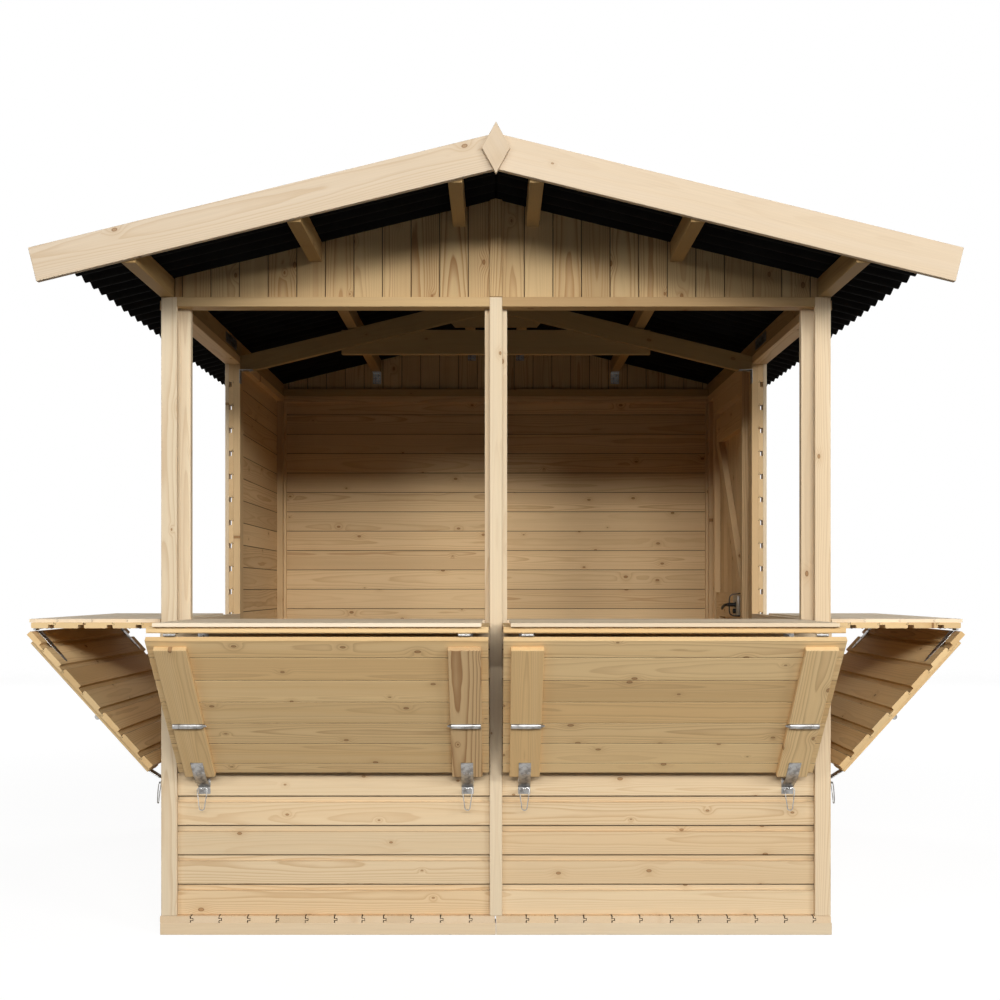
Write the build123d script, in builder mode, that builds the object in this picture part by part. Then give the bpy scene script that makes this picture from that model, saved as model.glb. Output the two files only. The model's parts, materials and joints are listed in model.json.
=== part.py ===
"""Timber market stall with four folding serving hatches and a boarded side door.

The stall stands on the ground at Z = 0, faces -Y and has its width along X. The origin is
below the middle of its overall box. Distances measured back from the outer face of the front
trims are passed to depth(), which turns them into Y. Sizes are in millimetres.
"""

import os
from math import cos, radians, sin, tan

from build123d import *

# Overall sizes
stall_width = 2233.0
stall_depth = 2233.0
bay_depth = 1075.0
head_height = 2032.0
sill_height = 956.0
roof_pitch = 13.75

# Base and floor
base_lip = 3.5
bearer_height = 40.0
bearer_width = 60.0
bearer_rows = 6
floor_thickness = 23.0

# Wall layers, from the outside in, and framing timber
trim_thickness = 16.0
cladding_thickness = 19.0
side_cladding_lip = 1.5
stud_thickness = 28.0
trim_width = 53.0
batten_width = 42.0
stud_width = 37.5
corner_reach = 90.5
rail_height = 32.0
sill_trim_height = 50.0
sill_plate_height = 52.0
side_stud_setback = 45.0

# Middle frame and its truss
mid_post_depth = 69.0
rafter_depth = 72.0
tie_length = 1300.0
tie_height = 102.0
tie_toe = 15.8

# Roof
purlin_width = 43.0
purlin_height = 55.5
middle_purlin_reach = 625.0
ridge_purlin_reach = 143.5
front_overhang = 440.0
rear_overhang = 113.0
eaves_lip = 3.0
eaves_overhang = 200.5
sheet_height = 38.0
cap_reach = 150.0
cap_thickness = 4.0
bargeboard_lead = 70.0
bargeboard_width = 103.5
bargeboard_rise = 51.0
bargeboard_thickness = 20.0
finial_width = 84.0
finial_height = 154.0
finial_thickness = 15.0
finial_above_apex = 3.0

# Serving hatches: a counter leaf and the prop leaf that folds under it
counter_reach = 432.0
counter_top_thickness = 12.0
counter_top_overhang = 14.0
counter_top_inset = 22.0
prop_angle = 47.8
prop_foot_out = 34.0
prop_top_gap = 7.5
centre_gap = 1.5
hatch_gap = 16.5
side_hatch_gap = 2.0
side_hatch_lead = 9.0
leaf_rest_gap = 2.0
prop_batten_width = 100.0
prop_batten_thickness = 17.0
prop_batten_start = 25.0
barrel_radius = 10.0
barrel_length = 94.0
barrel_place = 362.0

# Hatch ironwork
plate_thickness = 2.0
hinge_width = 36.0
hinge_leaf_length = 140.0
short_leaf_length = 55.0
wall_leaf_height = 46.0
knuckle_radius = 5.0
knuckle_lead = 8.0
latch_width = 40.0
latch_thickness = 3.0
latch_overlap = 74.0
latch_drop = 40.0
clip_width = 36.0
clip_height = 74.0
clip_wire = 4.0
clip_out = 9.0
clip_thickness = 3.0
staple_radius = 2.0

# Inner shelf
shelf_depth = 173.0
shelf_thickness = 20.0

# Door in the right wall, behind the middle frame
door_front_margin = 170.0
door_rear_margin = 152.0
door_head_drop = 82.0
door_gap = 5.0
door_sill_gap = 8.0
jamb_reach = 43.0
jamb_width = 38.0
door_ledge_height = 115.0
door_ledge_inset = 34.0
door_brace_width = 80.0
strap_length = 375.0
strap_width = 36.0
strap_thickness = 3.0
strap_pin_offset = 8.0
strap_pin_radius = 5.0
lock_length = 114.0
lock_height = 90.0
lock_thickness = 22.0
lock_centre_height = 1080.0
lever_length = 100.0
lever_radius = 7.0
lever_stand_off = 45.0

# Clearances between pieces of one body
seat_gap = 0.3
joint_gap = 1.0

# Levels, planes and lines that several pieces share
half_width = stall_width / 2
front_face = (front_overhang - stall_depth - rear_overhang) / 2
back_face = front_face + stall_depth
floor_top = bearer_height + floor_thickness
sill_top = floor_top + sill_height
head_bottom = floor_top + head_height
wall_top = head_bottom + rail_height
lining_depth = trim_thickness + cladding_thickness
wall_thickness = lining_depth + stud_thickness
clad_outside = half_width + side_cladding_lip
clad_inside = clad_outside - cladding_thickness
stud_inside = clad_inside - stud_thickness
side_face = clad_outside + trim_thickness
trim_inside = half_width - trim_width
hatch_underside = sill_top + leaf_rest_gap
counter_deck = hatch_underside + cladding_thickness
counter_top = counter_deck + counter_top_thickness
slope = tan(radians(roof_pitch))
eaves_reach = half_width + eaves_lip
roof_half_width = eaves_reach + eaves_overhang
bargeboard_reach = roof_half_width + bargeboard_lead
base_width = stall_width + 2 * base_lip
purlin_seat = wall_top + seat_gap
apex = purlin_seat + purlin_height + slope * eaves_reach
roof_front = front_face - front_overhang
roof_back = back_face + rear_overhang
back_stud_inside = stall_depth - wall_thickness
side_stud_start = back_stud_inside - side_stud_setback
door_start = bay_depth + door_front_margin
door_end = side_stud_start - door_rear_margin
door_head = head_bottom - door_head_drop

os.makedirs("parts", exist_ok=True)


def depth(distance):
    """Return the Y of a place this far behind the outer face of the front trims."""
    return front_face + distance


def underside(x):
    """Return the height of the underside of the roof sheets at this X."""
    return apex - slope * abs(x)


def block(x_range, y_range, z_range, mode=Mode.ADD):
    """Add an upright box between pairs of X, Y and Z values."""
    (x0, x1), (y0, y1), (z0, z1) = x_range, y_range, z_range
    middle = ((x0 + x1) / 2, (y0 + y1) / 2, (z0 + z1) / 2)
    with Locations(middle):
        Box(abs(x1 - x0), abs(y1 - y0), abs(z1 - z0), mode=mode)


def prism(points, y_range):
    """Add a solid with this outline in X and Z, reaching from one Y to another."""
    y0, y1 = y_range
    with BuildSketch(Plane.XZ.offset(-y0)) as profile:
        Polygon(*points, align=None)
    extrude(profile.sketch, amount=-(y1 - y0))


def save(piece, name):
    """Label a finished piece and write it to the parts folder."""
    piece.label = name
    export_step(piece, f"parts/{name}.step")


# Base: rows of bearers in two halves, with a floor deck over each half
with BuildPart() as floor_bearers:
    for row in range(bearer_rows):
        start = front_face + row * (stall_depth - bearer_width) / (bearer_rows - 1)
        for side in (-1, 1):
            block(
                (side * joint_gap / 2, side * base_width / 2),
                (start, start + bearer_width),
                (0, bearer_height),
            )
save(floor_bearers.part, "floor_bearers")

with BuildPart() as floor_deck:
    for side in (-1, 1):
        block(
            (side * joint_gap / 2, side * base_width / 2),
            (front_face, back_face),
            (bearer_height, floor_top),
        )
save(floor_deck.part, "floor_deck")

# Cladding of the low front walls and of the low side walls of the front bay
with BuildPart() as front_walls:
    for side in (-1, 1):
        block(
            (side * joint_gap / 2, side * clad_inside),
            (depth(trim_thickness), depth(lining_depth)),
            (floor_top, sill_top),
        )
save(front_walls.part, "front_walls")

with BuildPart() as side_low_walls:
    for side in (-1, 1):
        block(
            (side * clad_inside, side * clad_outside),
            (depth(trim_thickness), depth(bay_depth)),
            (floor_top, sill_top),
        )
save(side_low_walls.part, "side_low_walls")

# Full-height cladding of the rear bay; the right wall leaves the doorway open
back_lining = stall_depth - trim_thickness
with BuildPart() as left_rear_wall:
    block(
        (-clad_outside, -clad_inside),
        (depth(bay_depth), depth(back_lining)),
        (floor_top, wall_top),
    )
save(left_rear_wall.part, "left_rear_wall")

with BuildPart() as right_rear_wall:
    for near, far in ((bay_depth, door_start), (door_end, back_lining)):
        block((clad_inside, clad_outside), (depth(near), depth(far)), (floor_top, wall_top))
save(right_rear_wall.part, "right_rear_wall")

with BuildPart() as wall_over_door:
    block(
        (clad_inside, clad_outside),
        (depth(door_start), depth(door_end)),
        (door_head, wall_top),
    )
save(wall_over_door.part, "wall_over_door")

back_clad_inside = stall_depth - lining_depth
with BuildPart() as back_wall:
    for side in (-1, 1):
        block(
            (side * joint_gap / 2, side * clad_inside),
            (depth(back_clad_inside), depth(back_lining)),
            (floor_top, wall_top),
        )
save(back_wall.part, "back_wall")

# Gables: boards notched over the purlins that run through them
gable_reach = eaves_reach - purlin_width - seat_gap
gable_faces = (
    (depth(trim_thickness), depth(lining_depth)),
    (depth(back_clad_inside), depth(back_lining)),
)
with BuildPart() as gables:
    for y_range in gable_faces:
        for side in (-1, 1):
            outline = [
                (side * joint_gap / 2, wall_top),
                (side * gable_reach, wall_top),
                (side * gable_reach, underside(gable_reach) - seat_gap),
                (side * joint_gap / 2, underside(joint_gap / 2) - seat_gap),
            ]
            prism(outline, y_range)
            for reach in (middle_purlin_reach, ridge_purlin_reach):
                notch_foot = underside(reach) - purlin_height - seat_gap
                block(
                    (side * (reach + seat_gap), side * (reach - purlin_width - seat_gap)),
                    y_range,
                    (notch_foot, apex),
                    mode=Mode.SUBTRACT,
                )
save(gables.part, "gables")

# Outside trims: corner boards, middle battens, side uprights and sill boards
with BuildPart() as corner_trims:
    for side in (-1, 1):
        for outer, along in ((0, 1), (stall_depth, -1)):
            block(
                (side * trim_inside, side * half_width),
                (depth(outer), depth(outer + along * trim_thickness)),
                (floor_top, wall_top),
            )
save(corner_trims.part, "corner_trims")

batten_faces = ((depth(0), depth(trim_thickness)), (depth(back_lining), depth(stall_depth)))
with BuildPart() as middle_battens:
    for y_range in batten_faces:
        block((-batten_width / 2, batten_width / 2), y_range, (floor_top, wall_top))
        outline = [
            (-batten_width / 2, wall_top + joint_gap),
            (batten_width / 2, wall_top + joint_gap),
            (batten_width / 2, underside(batten_width / 2) - seat_gap),
            (0, apex - seat_gap),
            (-batten_width / 2, underside(batten_width / 2) - seat_gap),
        ]
        prism(outline, y_range)
save(middle_battens.part, "middle_battens")

with BuildPart() as side_trims:
    for side in (-1, 1):
        block(
            (side * clad_outside, side * side_face),
            (depth(bay_depth), depth(bay_depth + batten_width)),
            (floor_top, wall_top),
        )
save(side_trims.part, "side_trims")

sill_trim_range = (sill_top - sill_trim_height, sill_top)
with BuildPart() as sill_trims:
    for side in (-1, 1):
        block(
            (side * batten_width / 2, side * trim_inside),
            (depth(0), depth(trim_thickness)),
            sill_trim_range,
        )
        block(
            (side * clad_outside, side * side_face),
            (depth(trim_width), depth(bay_depth)),
            sill_trim_range,
        )
save(sill_trims.part, "sill_trims")

# Framing: corner posts, studs, the posts of the middle frame and the rails over the bays
side_post_depths = (
    (bay_depth, bay_depth + mid_post_depth),
    (side_stud_start, side_stud_start + stud_width),
)
with BuildPart() as wall_posts:
    for side in (-1, 1):
        block(
            (side * (half_width - corner_reach), side * clad_inside),
            (depth(lining_depth), depth(wall_thickness)),
            (floor_top, head_bottom),
        )
        block(
            (side * stud_inside, side * clad_inside),
            (depth(wall_thickness), depth(corner_reach)),
            (floor_top, head_bottom),
        )
        block(
            (side * (clad_inside - stud_width), side * clad_inside),
            (depth(back_stud_inside), depth(back_clad_inside)),
            (floor_top, head_bottom),
        )
        for near, far in ((lining_depth, wall_thickness), (back_stud_inside, back_clad_inside)):
            block(
                (side * joint_gap / 2, side * stud_width),
                (depth(near), depth(far)),
                (floor_top, head_bottom),
            )
        for near, far in side_post_depths:
            block(
                (side * stud_inside, side * clad_inside),
                (depth(near), depth(far)),
                (floor_top, head_bottom),
            )
save(wall_posts.part, "wall_posts")

with BuildPart() as door_frame:
    block(
        (clad_inside - jamb_reach, clad_inside),
        (depth(door_start - jamb_width), depth(door_start)),
        (floor_top, head_bottom),
    )
    block(
        (stud_inside, clad_inside),
        (depth(door_end), depth(door_end + jamb_width)),
        (floor_top, head_bottom),
    )
    block(
        (stud_inside, clad_inside),
        (depth(door_start) + seat_gap, depth(door_end) - seat_gap),
        (door_head, head_bottom),
    )
save(door_frame.part, "door_frame")

sill_plate_top = counter_top - leaf_rest_gap
shelf_bottom = sill_plate_top - shelf_thickness
with BuildPart() as sill_plates:
    for side in (-1, 1):
        block(
            (side * stud_width, side * (half_width - corner_reach)),
            (depth(lining_depth), depth(wall_thickness)),
            (shelf_bottom - sill_plate_height, shelf_bottom),
        )
        block(
            (side * stud_inside, side * clad_inside),
            (depth(corner_reach), depth(bay_depth)),
            (sill_plate_top - sill_plate_height, sill_plate_top),
        )
save(sill_plates.part, "sill_plates")

with BuildPart() as front_head_rails:
    for side in (-1, 1):
        block(
            (side * batten_width / 2, side * trim_inside),
            (depth(0), depth(trim_thickness)),
            (head_bottom, wall_top),
        )
        block(
            (side * joint_gap / 2, side * clad_outside),
            (depth(trim_thickness), depth(wall_thickness)),
            (head_bottom, wall_top),
        )
save(front_head_rails.part, "front_head_rails")

with BuildPart() as side_head_rails:
    for side in (-1, 1):
        block(
            (side * stud_inside, side * clad_outside),
            (depth(wall_thickness), depth(bay_depth)),
            (head_bottom, wall_top),
        )
        block(
            (side * clad_outside, side * side_face),
            (depth(trim_width), depth(bay_depth)),
            (head_bottom, wall_top),
        )
        block(
            (side * stud_inside, side * clad_inside),
            (depth(bay_depth), depth(back_stud_inside)),
            (head_bottom, wall_top),
        )
save(side_head_rails.part, "side_head_rails")

with BuildPart() as back_head_rail:
    block(
        (-clad_inside, clad_inside),
        (depth(back_stud_inside), depth(back_clad_inside)),
        (head_bottom, wall_top),
    )
save(back_head_rail.part, "back_head_rail")

# Plates along the foot of each gable, standing on the head rails
with BuildPart() as gable_plates:
    for near, far in ((lining_depth, wall_thickness), (back_stud_inside, back_clad_inside)):
        block(
            (-gable_reach, gable_reach),
            (depth(near), depth(far)),
            (wall_top, wall_top + stud_width),
        )
save(gable_plates.part, "gable_plates")

# Purlins along the eaves, at mid slope and beside the ridge
with BuildPart() as purlins:
    for side in (-1, 1):
        for reach in (eaves_reach, middle_purlin_reach, ridge_purlin_reach):
            foot = underside(reach) - purlin_height
            inner = reach - purlin_width
            outline = [
                (side * reach, foot),
                (side * inner, foot),
                (side * inner, underside(inner)),
                (side * reach, underside(reach)),
            ]
            prism(outline, (roof_front, roof_back))
save(purlins.part, "purlins")

# Truss between the posts of the middle frame: two rafters under the purlins and, behind
# them, a collar tie
truss_start = bay_depth
rafter_drop = purlin_height + purlin_width * slope
rafter_fall = rafter_depth / cos(radians(roof_pitch))
rafter_reach = stud_inside - seat_gap
with BuildPart() as truss_rafters:
    for side in (-1, 1):
        outline = [
            (side * joint_gap / 2, underside(joint_gap / 2) - rafter_drop),
            (side * rafter_reach, underside(rafter_reach) - rafter_drop),
            (side * rafter_reach, underside(rafter_reach) - rafter_drop - rafter_fall),
            (side * joint_gap / 2, underside(joint_gap / 2) - rafter_drop - rafter_fall),
        ]
        prism(outline, (depth(truss_start), depth(truss_start + stud_thickness)))
save(truss_rafters.part, "truss_rafters")

tie_bottom = underside(tie_length / 2) - rafter_drop - rafter_fall - tie_toe
with BuildPart() as collar_tie:
    block(
        (-tie_length / 2, tie_length / 2),
        (depth(truss_start + stud_thickness), depth(truss_start + 2 * stud_thickness)),
        (tie_bottom, tie_bottom + tie_height),
    )
save(collar_tie.part, "collar_tie")

# Roof sheets, drawn as thick as their corrugations are high, and the ridge cap
sheet_rise = sheet_height / cos(radians(roof_pitch))
for side, name in ((-1, "left_roof_sheet"), (1, "right_roof_sheet")):
    with BuildPart() as roof_sheet:
        outline = [
            (side * joint_gap / 2, underside(joint_gap / 2) + seat_gap),
            (side * roof_half_width, underside(roof_half_width) + seat_gap),
            (side * roof_half_width, underside(roof_half_width) + seat_gap + sheet_rise),
            (side * joint_gap / 2, underside(joint_gap / 2) + seat_gap + sheet_rise),
        ]
        prism(outline, (roof_front, roof_back))
    save(roof_sheet.part, name)

cap_seat = sheet_rise + 2 * seat_gap
cap_crown = cap_seat + cap_thickness / cos(radians(roof_pitch))
with BuildPart() as ridge_cap:
    cap_outline = [
        (-cap_reach, underside(cap_reach) + cap_seat),
        (0, apex + cap_seat),
        (cap_reach, underside(cap_reach) + cap_seat),
        (cap_reach, underside(cap_reach) + cap_crown),
        (0, apex + cap_crown),
        (-cap_reach, underside(cap_reach) + cap_crown),
    ]
    prism(cap_outline, (roof_front, roof_back))
save(ridge_cap.part, "ridge_cap")

# Bargeboards at both ends of the roof, with a diamond finial over each joint
board_fall = bargeboard_width / cos(radians(roof_pitch))
end_shift = bargeboard_width * sin(radians(roof_pitch))
end_fall = bargeboard_width * cos(radians(roof_pitch))
end_top = underside(bargeboard_reach) + bargeboard_rise
bargeboard_faces = (
    (roof_front - bargeboard_thickness, roof_front),
    (roof_back, roof_back + bargeboard_thickness),
)
with BuildPart() as bargeboards:
    for y_range in bargeboard_faces:
        for side in (-1, 1):
            outline = [
                (side * joint_gap / 2, underside(joint_gap / 2) + bargeboard_rise),
                (side * bargeboard_reach, end_top),
                (side * (bargeboard_reach - end_shift), end_top - end_fall),
                (side * joint_gap / 2, underside(joint_gap / 2) + bargeboard_rise - board_fall),
            ]
            prism(outline, y_range)
save(bargeboards.part, "bargeboards")

finial_middle = apex + finial_above_apex
finial_faces = (
    (roof_front - bargeboard_thickness - finial_thickness, roof_front - bargeboard_thickness),
    (roof_back + bargeboard_thickness, roof_back + bargeboard_thickness + finial_thickness),
)
with BuildPart() as finials:
    for y_range in finial_faces:
        outline = [
            (0, finial_middle + finial_height / 2),
            (finial_width / 2, finial_middle),
            (0, finial_middle - finial_height / 2),
            (-finial_width / 2, finial_middle),
        ]
        prism(outline, y_range)
save(finials.part, "finials")

# Shelf inside the front wall, let in between the studs
with BuildPart() as inner_shelf:
    block(
        (-(stud_inside - seat_gap), stud_inside - seat_gap),
        (depth(corner_reach + seat_gap), depth(shelf_depth)),
        (shelf_bottom, sill_plate_top),
    )
    for side in (-1, 1):
        block(
            (side * (stud_width + seat_gap), side * (half_width - corner_reach - seat_gap)),
            (depth(lining_depth + leaf_rest_gap), depth(corner_reach + joint_gap)),
            (shelf_bottom, sill_plate_top),
        )
save(inner_shelf.part, "inner_shelf")


# Serving hatches. Each is drawn in a plane whose X points out of the wall and whose Y points
# up, and is extruded along the opening, from its start to its start plus the opening width.
front_opening = trim_inside - batten_width / 2
side_opening = bay_depth - trim_width
hatches = {
    "front_left": (
        Plane(origin=(-batten_width / 2, front_face, 0), x_dir=(0, -1, 0), z_dir=(-1, 0, 0)),
        centre_gap,
        front_opening - hatch_gap,
    ),
    "front_right": (
        Plane(origin=(trim_inside, front_face, 0), x_dir=(0, -1, 0), z_dir=(-1, 0, 0)),
        hatch_gap,
        front_opening - centre_gap,
    ),
    "left_side": (
        Plane(origin=(-side_face, depth(trim_width), 0), x_dir=(-1, 0, 0), z_dir=(0, 1, 0)),
        -side_hatch_lead,
        side_opening - side_hatch_gap,
    ),
    "right_side": (
        Plane(origin=(side_face, depth(bay_depth), 0), x_dir=(1, 0, 0), z_dir=(0, -1, 0)),
        side_hatch_gap,
        side_opening + side_hatch_lead,
    ),
}

down_prop = Vector(-cos(radians(prop_angle)), -sin(radians(prop_angle)))
prop_inward = Vector(-sin(radians(prop_angle)), cos(radians(prop_angle)))
knuckle = Vector(counter_reach + knuckle_lead, hatch_underside - knuckle_radius)
knuckle_inward = cladding_thickness + plate_thickness - knuckle_radius
prop_top = knuckle + down_prop * prop_top_gap - prop_inward * knuckle_inward
prop_length = (prop_top.X - prop_foot_out) / cos(radians(prop_angle))
batten_face = -prop_batten_thickness


def on_prop(along, inward):
    """Return the hatch-plane point this far down the prop and this far to its inner side."""
    point = prop_top + down_prop * along + prop_inward * inward
    return (point.X, point.Y)


def bar(plane, points, start, end):
    """Add a bar with this outline in a hatch plane, between two places along the opening."""
    with BuildSketch(plane.offset(start)) as profile:
        Polygon(*points, align=None)
    extrude(profile.sketch, amount=end - start)


def rectangle_points(x0, x1, y0, y1):
    """Return the corners of an upright rectangle."""
    return ((x0, y0), (x1, y0), (x1, y1), (x0, y1))


for view in ("front", "side"):
    facing = {name: hatch for name, hatch in hatches.items() if view in name}
    with BuildPart() as counters:
        for plane, start, end in facing.values():
            deck = rectangle_points(leaf_rest_gap, counter_reach, hatch_underside, counter_deck)
            bar(plane, deck, start, end)
            top_edge = counter_reach + counter_top_overhang
            top = rectangle_points(leaf_rest_gap, top_edge, counter_deck, counter_top)
            bar(plane, top, start + counter_top_inset, end - counter_top_inset)
    save(counters.part, f"{view}_counters")

    with BuildPart() as props:
        for plane, start, end in facing.values():
            leaf = (
                on_prop(0, 0),
                on_prop(prop_length, 0),
                on_prop(prop_length, cladding_thickness),
                on_prop(0, cladding_thickness),
            )
            bar(plane, leaf, start, end)
    save(props.part, f"{view}_props")

batten_places = {
    name: (
        start + counter_top_inset,
        end - counter_top_inset - prop_batten_width,
    )
    for name, (plane, start, end) in hatches.items()
}

with BuildPart() as prop_battens:
    for name, (plane, start, end) in hatches.items():
        for place in batten_places[name]:
            outline = (
                on_prop(prop_batten_start, 0),
                on_prop(prop_length, 0),
                on_prop(prop_length, batten_face),
                on_prop(prop_batten_start, batten_face),
            )
            bar(plane, outline, place, place + prop_batten_width)
            with BuildSketch(plane.offset(place)):
                with Locations(on_prop(barrel_place, batten_face)):
                    Circle(barrel_radius + seat_gap)
            extrude(amount=prop_batten_width, mode=Mode.SUBTRACT)
save(prop_battens.part, "prop_battens")

with BuildPart() as batten_barrels:
    barrel_margin = (prop_batten_width - barrel_length) / 2
    for name, (plane, start, end) in hatches.items():
        for place in batten_places[name]:
            with BuildSketch(plane.offset(place + barrel_margin)):
                with Locations(on_prop(barrel_place, batten_face)):
                    Circle(barrel_radius)
            extrude(amount=barrel_length)
save(batten_barrels.part, "batten_barrels")

# Hinges of the leaves: each sits over the middle of a prop batten
hinge_shift = (prop_batten_width - hinge_width) / 2
with BuildPart() as hatch_hinges:
    for name, (plane, start, end) in hatches.items():
        for place in batten_places[name]:
            near = place + hinge_shift
            far = near + hinge_width
            at_wall = (
                (0, hatch_underside),
                (0, hatch_underside - wall_leaf_height),
                (plate_thickness, hatch_underside - wall_leaf_height),
                (plate_thickness, hatch_underside - plate_thickness),
                (hinge_leaf_length, hatch_underside - plate_thickness),
                (hinge_leaf_length, hatch_underside),
            )
            bar(plane, at_wall, near, far)
            under_counter = rectangle_points(
                counter_reach - short_leaf_length,
                knuckle.X,
                hatch_underside - plate_thickness,
                hatch_underside,
            )
            bar(plane, under_counter, near, far)
            with BuildSketch(plane.offset(near)):
                with Locations(knuckle):
                    Circle(knuckle_radius)
            extrude(amount=hinge_width)
            on_leaf = (
                on_prop(-knuckle_radius, cladding_thickness),
                on_prop(hinge_leaf_length, cladding_thickness),
                on_prop(hinge_leaf_length, cladding_thickness + plate_thickness),
                on_prop(-knuckle_radius, cladding_thickness + plate_thickness),
            )
            bar(plane, on_leaf, near, far)
save(hatch_hinges.part, "hatch_hinges")

# Bent latch plates from the foot of each prop batten to the wall, with their spring clips
latch_shift = (prop_batten_width - latch_width) / 2
latch_heel = Vector(*on_prop(prop_length, batten_face))
latch_toe = Vector(seat_gap - trim_thickness, latch_heel.Y - latch_drop)
with BuildPart() as latch_plates:
    for name, (plane, start, end) in hatches.items():
        for place in batten_places[name]:
            outline = (
                on_prop(prop_length - latch_overlap, batten_face),
                (latch_heel.X, latch_heel.Y),
                (latch_toe.X, latch_toe.Y),
                (latch_toe.X, latch_toe.Y - latch_thickness),
                on_prop(prop_length + latch_thickness / 2, batten_face - latch_thickness),
                on_prop(prop_length - latch_overlap, batten_face - latch_thickness),
            )
            bar(plane, outline, place + latch_shift, place + latch_shift + latch_width)
save(latch_plates.part, "latch_plates")

staple_height = latch_toe.Y - latch_thickness - staple_radius - seat_gap
clip_top = staple_height + staple_radius + seat_gap + clip_wire
with BuildPart() as spring_clips:
    for name, (plane, start, end) in hatches.items():
        for place in batten_places[name]:
            middle = place + prop_batten_width / 2
            staple = rectangle_points(
                -trim_thickness,
                clip_out + clip_thickness + staple_radius,
                staple_height - staple_radius,
                staple_height + staple_radius,
            )
            bar(plane, staple, middle - staple_radius, middle + staple_radius)
            face = Plane(
                origin=plane.from_local_coords(Vector(clip_out, 0, middle)),
                x_dir=-plane.z_dir,
                z_dir=plane.x_dir,
            )
            with BuildSketch(face):
                with Locations((0, clip_top - clip_height / 2)):
                    SlotOverall(clip_height, clip_width, rotation=90)
                    SlotOverall(
                        clip_height - 2 * clip_wire,
                        clip_width - 2 * clip_wire,
                        rotation=90,
                        mode=Mode.SUBTRACT,
                    )
            extrude(amount=clip_thickness)
save(spring_clips.part, "spring_clips")

# Door leaf of upright boards, hung at its rear edge, with ledges and braces inside
door_near = door_start + door_gap
door_far = door_end - door_gap
door_foot = floor_top + door_sill_gap
door_top = door_head - door_gap
with BuildPart() as door_leaf:
    block(
        (clad_inside, clad_outside),
        (depth(door_near), depth(door_far)),
        (door_foot, door_top),
    )
save(door_leaf.part, "door_leaf")

ledge_near = door_near + door_ledge_inset
ledge_far = door_far - door_ledge_inset
ledge_feet = (
    door_foot + door_ledge_inset,
    lock_centre_height - door_ledge_height / 2,
    door_top - door_ledge_inset - door_ledge_height,
)
with BuildPart() as door_ledges:
    for foot in ledge_feet:
        block(
            (stud_inside, clad_inside),
            (depth(ledge_near), depth(ledge_far)),
            (foot, foot + door_ledge_height),
        )
    for lower, upper in zip(ledge_feet, ledge_feet[1:]):
        bottom = lower + door_ledge_height + seat_gap
        top = upper - seat_gap
        with BuildSketch(Plane.YZ.offset(stud_inside)):
            Polygon(
                (depth(ledge_near), bottom),
                (depth(ledge_near + door_brace_width), bottom),
                (depth(ledge_far), top),
                (depth(ledge_far - door_brace_width), top),
                align=None,
            )
        extrude(amount=stud_thickness)
save(door_ledges.part, "door_ledges")

# Strap hinges: straps on the leaf turn on pins that stand on plates beside the doorway
pin_x = clad_outside + strap_pin_offset
pin_y = depth(door_end - door_gap / 2)
strap_heights = (
    ledge_feet[0] + door_ledge_height / 2,
    ledge_feet[2] + door_ledge_height / 2,
)
with BuildPart() as door_straps:
    for height in strap_heights:
        block(
            (clad_outside, clad_outside + strap_thickness),
            (pin_y - strap_length, pin_y - strap_pin_radius),
            (height, height + strap_width),
        )
        with BuildSketch(Plane.XY.offset(height)):
            with Locations((pin_x, pin_y)):
                Circle(strap_pin_radius + strap_thickness)
                Circle(strap_pin_radius + seat_gap, mode=Mode.SUBTRACT)
        extrude(amount=strap_width)
save(door_straps.part, "door_straps")

with BuildPart() as door_hinge_pins:
    for height in strap_heights:
        block(
            (clad_outside, clad_outside + strap_thickness),
            (pin_y, pin_y + 2 * strap_width),
            (height - 2 * strap_width, height - joint_gap),
        )
        with BuildSketch(Plane.XY.offset(height - strap_width)):
            with Locations((pin_x, pin_y)):
                Circle(strap_pin_radius)
        extrude(amount=2 * strap_width)
        with BuildSketch(Plane.XY.offset(height - strap_width)):
            with Locations((pin_x, pin_y)):
                Circle(strap_pin_radius + strap_thickness)
        extrude(amount=strap_width - joint_gap)
save(door_hinge_pins.part, "door_hinge_pins")

# Rim lock on the middle ledge, with a lever inside and a lever outside
lock_middle = depth(ledge_near + lock_length / 2)
with BuildPart() as door_lock:
    block(
        (stud_inside - lock_thickness, stud_inside),
        (lock_middle - lock_length / 2, lock_middle + lock_length / 2),
        (lock_centre_height - lock_height / 2, lock_centre_height + lock_height / 2),
    )
    for face, out in ((stud_inside - lock_thickness, -1), (clad_outside, 1)):
        with BuildSketch(Plane.YZ.offset(face)):
            with Locations((lock_middle, lock_centre_height)):
                Circle(lever_radius)
        extrude(amount=out * lever_stand_off)
        tip = face + out * (lever_stand_off - lever_radius)
        with BuildSketch(Plane.XZ.offset(-lock_middle)):
            with Locations((tip, lock_centre_height)):
                Circle(lever_radius)
        extrude(amount=-lever_length)
save(door_lock.part, "door_lock")
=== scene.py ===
"""Looks of a timber market stall: boards, framing, corrugated roof, hatches and ironwork.

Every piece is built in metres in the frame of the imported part: +Z up, the serving front faces
-Y and the boarded side door is in the +X wall. Places come from the part's own boxes.
"""

from __future__ import annotations

import json
import logging
import math
import random
from dataclasses import dataclass, field
from enum import Enum
from functools import cache
from typing import Callable, Sequence

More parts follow.
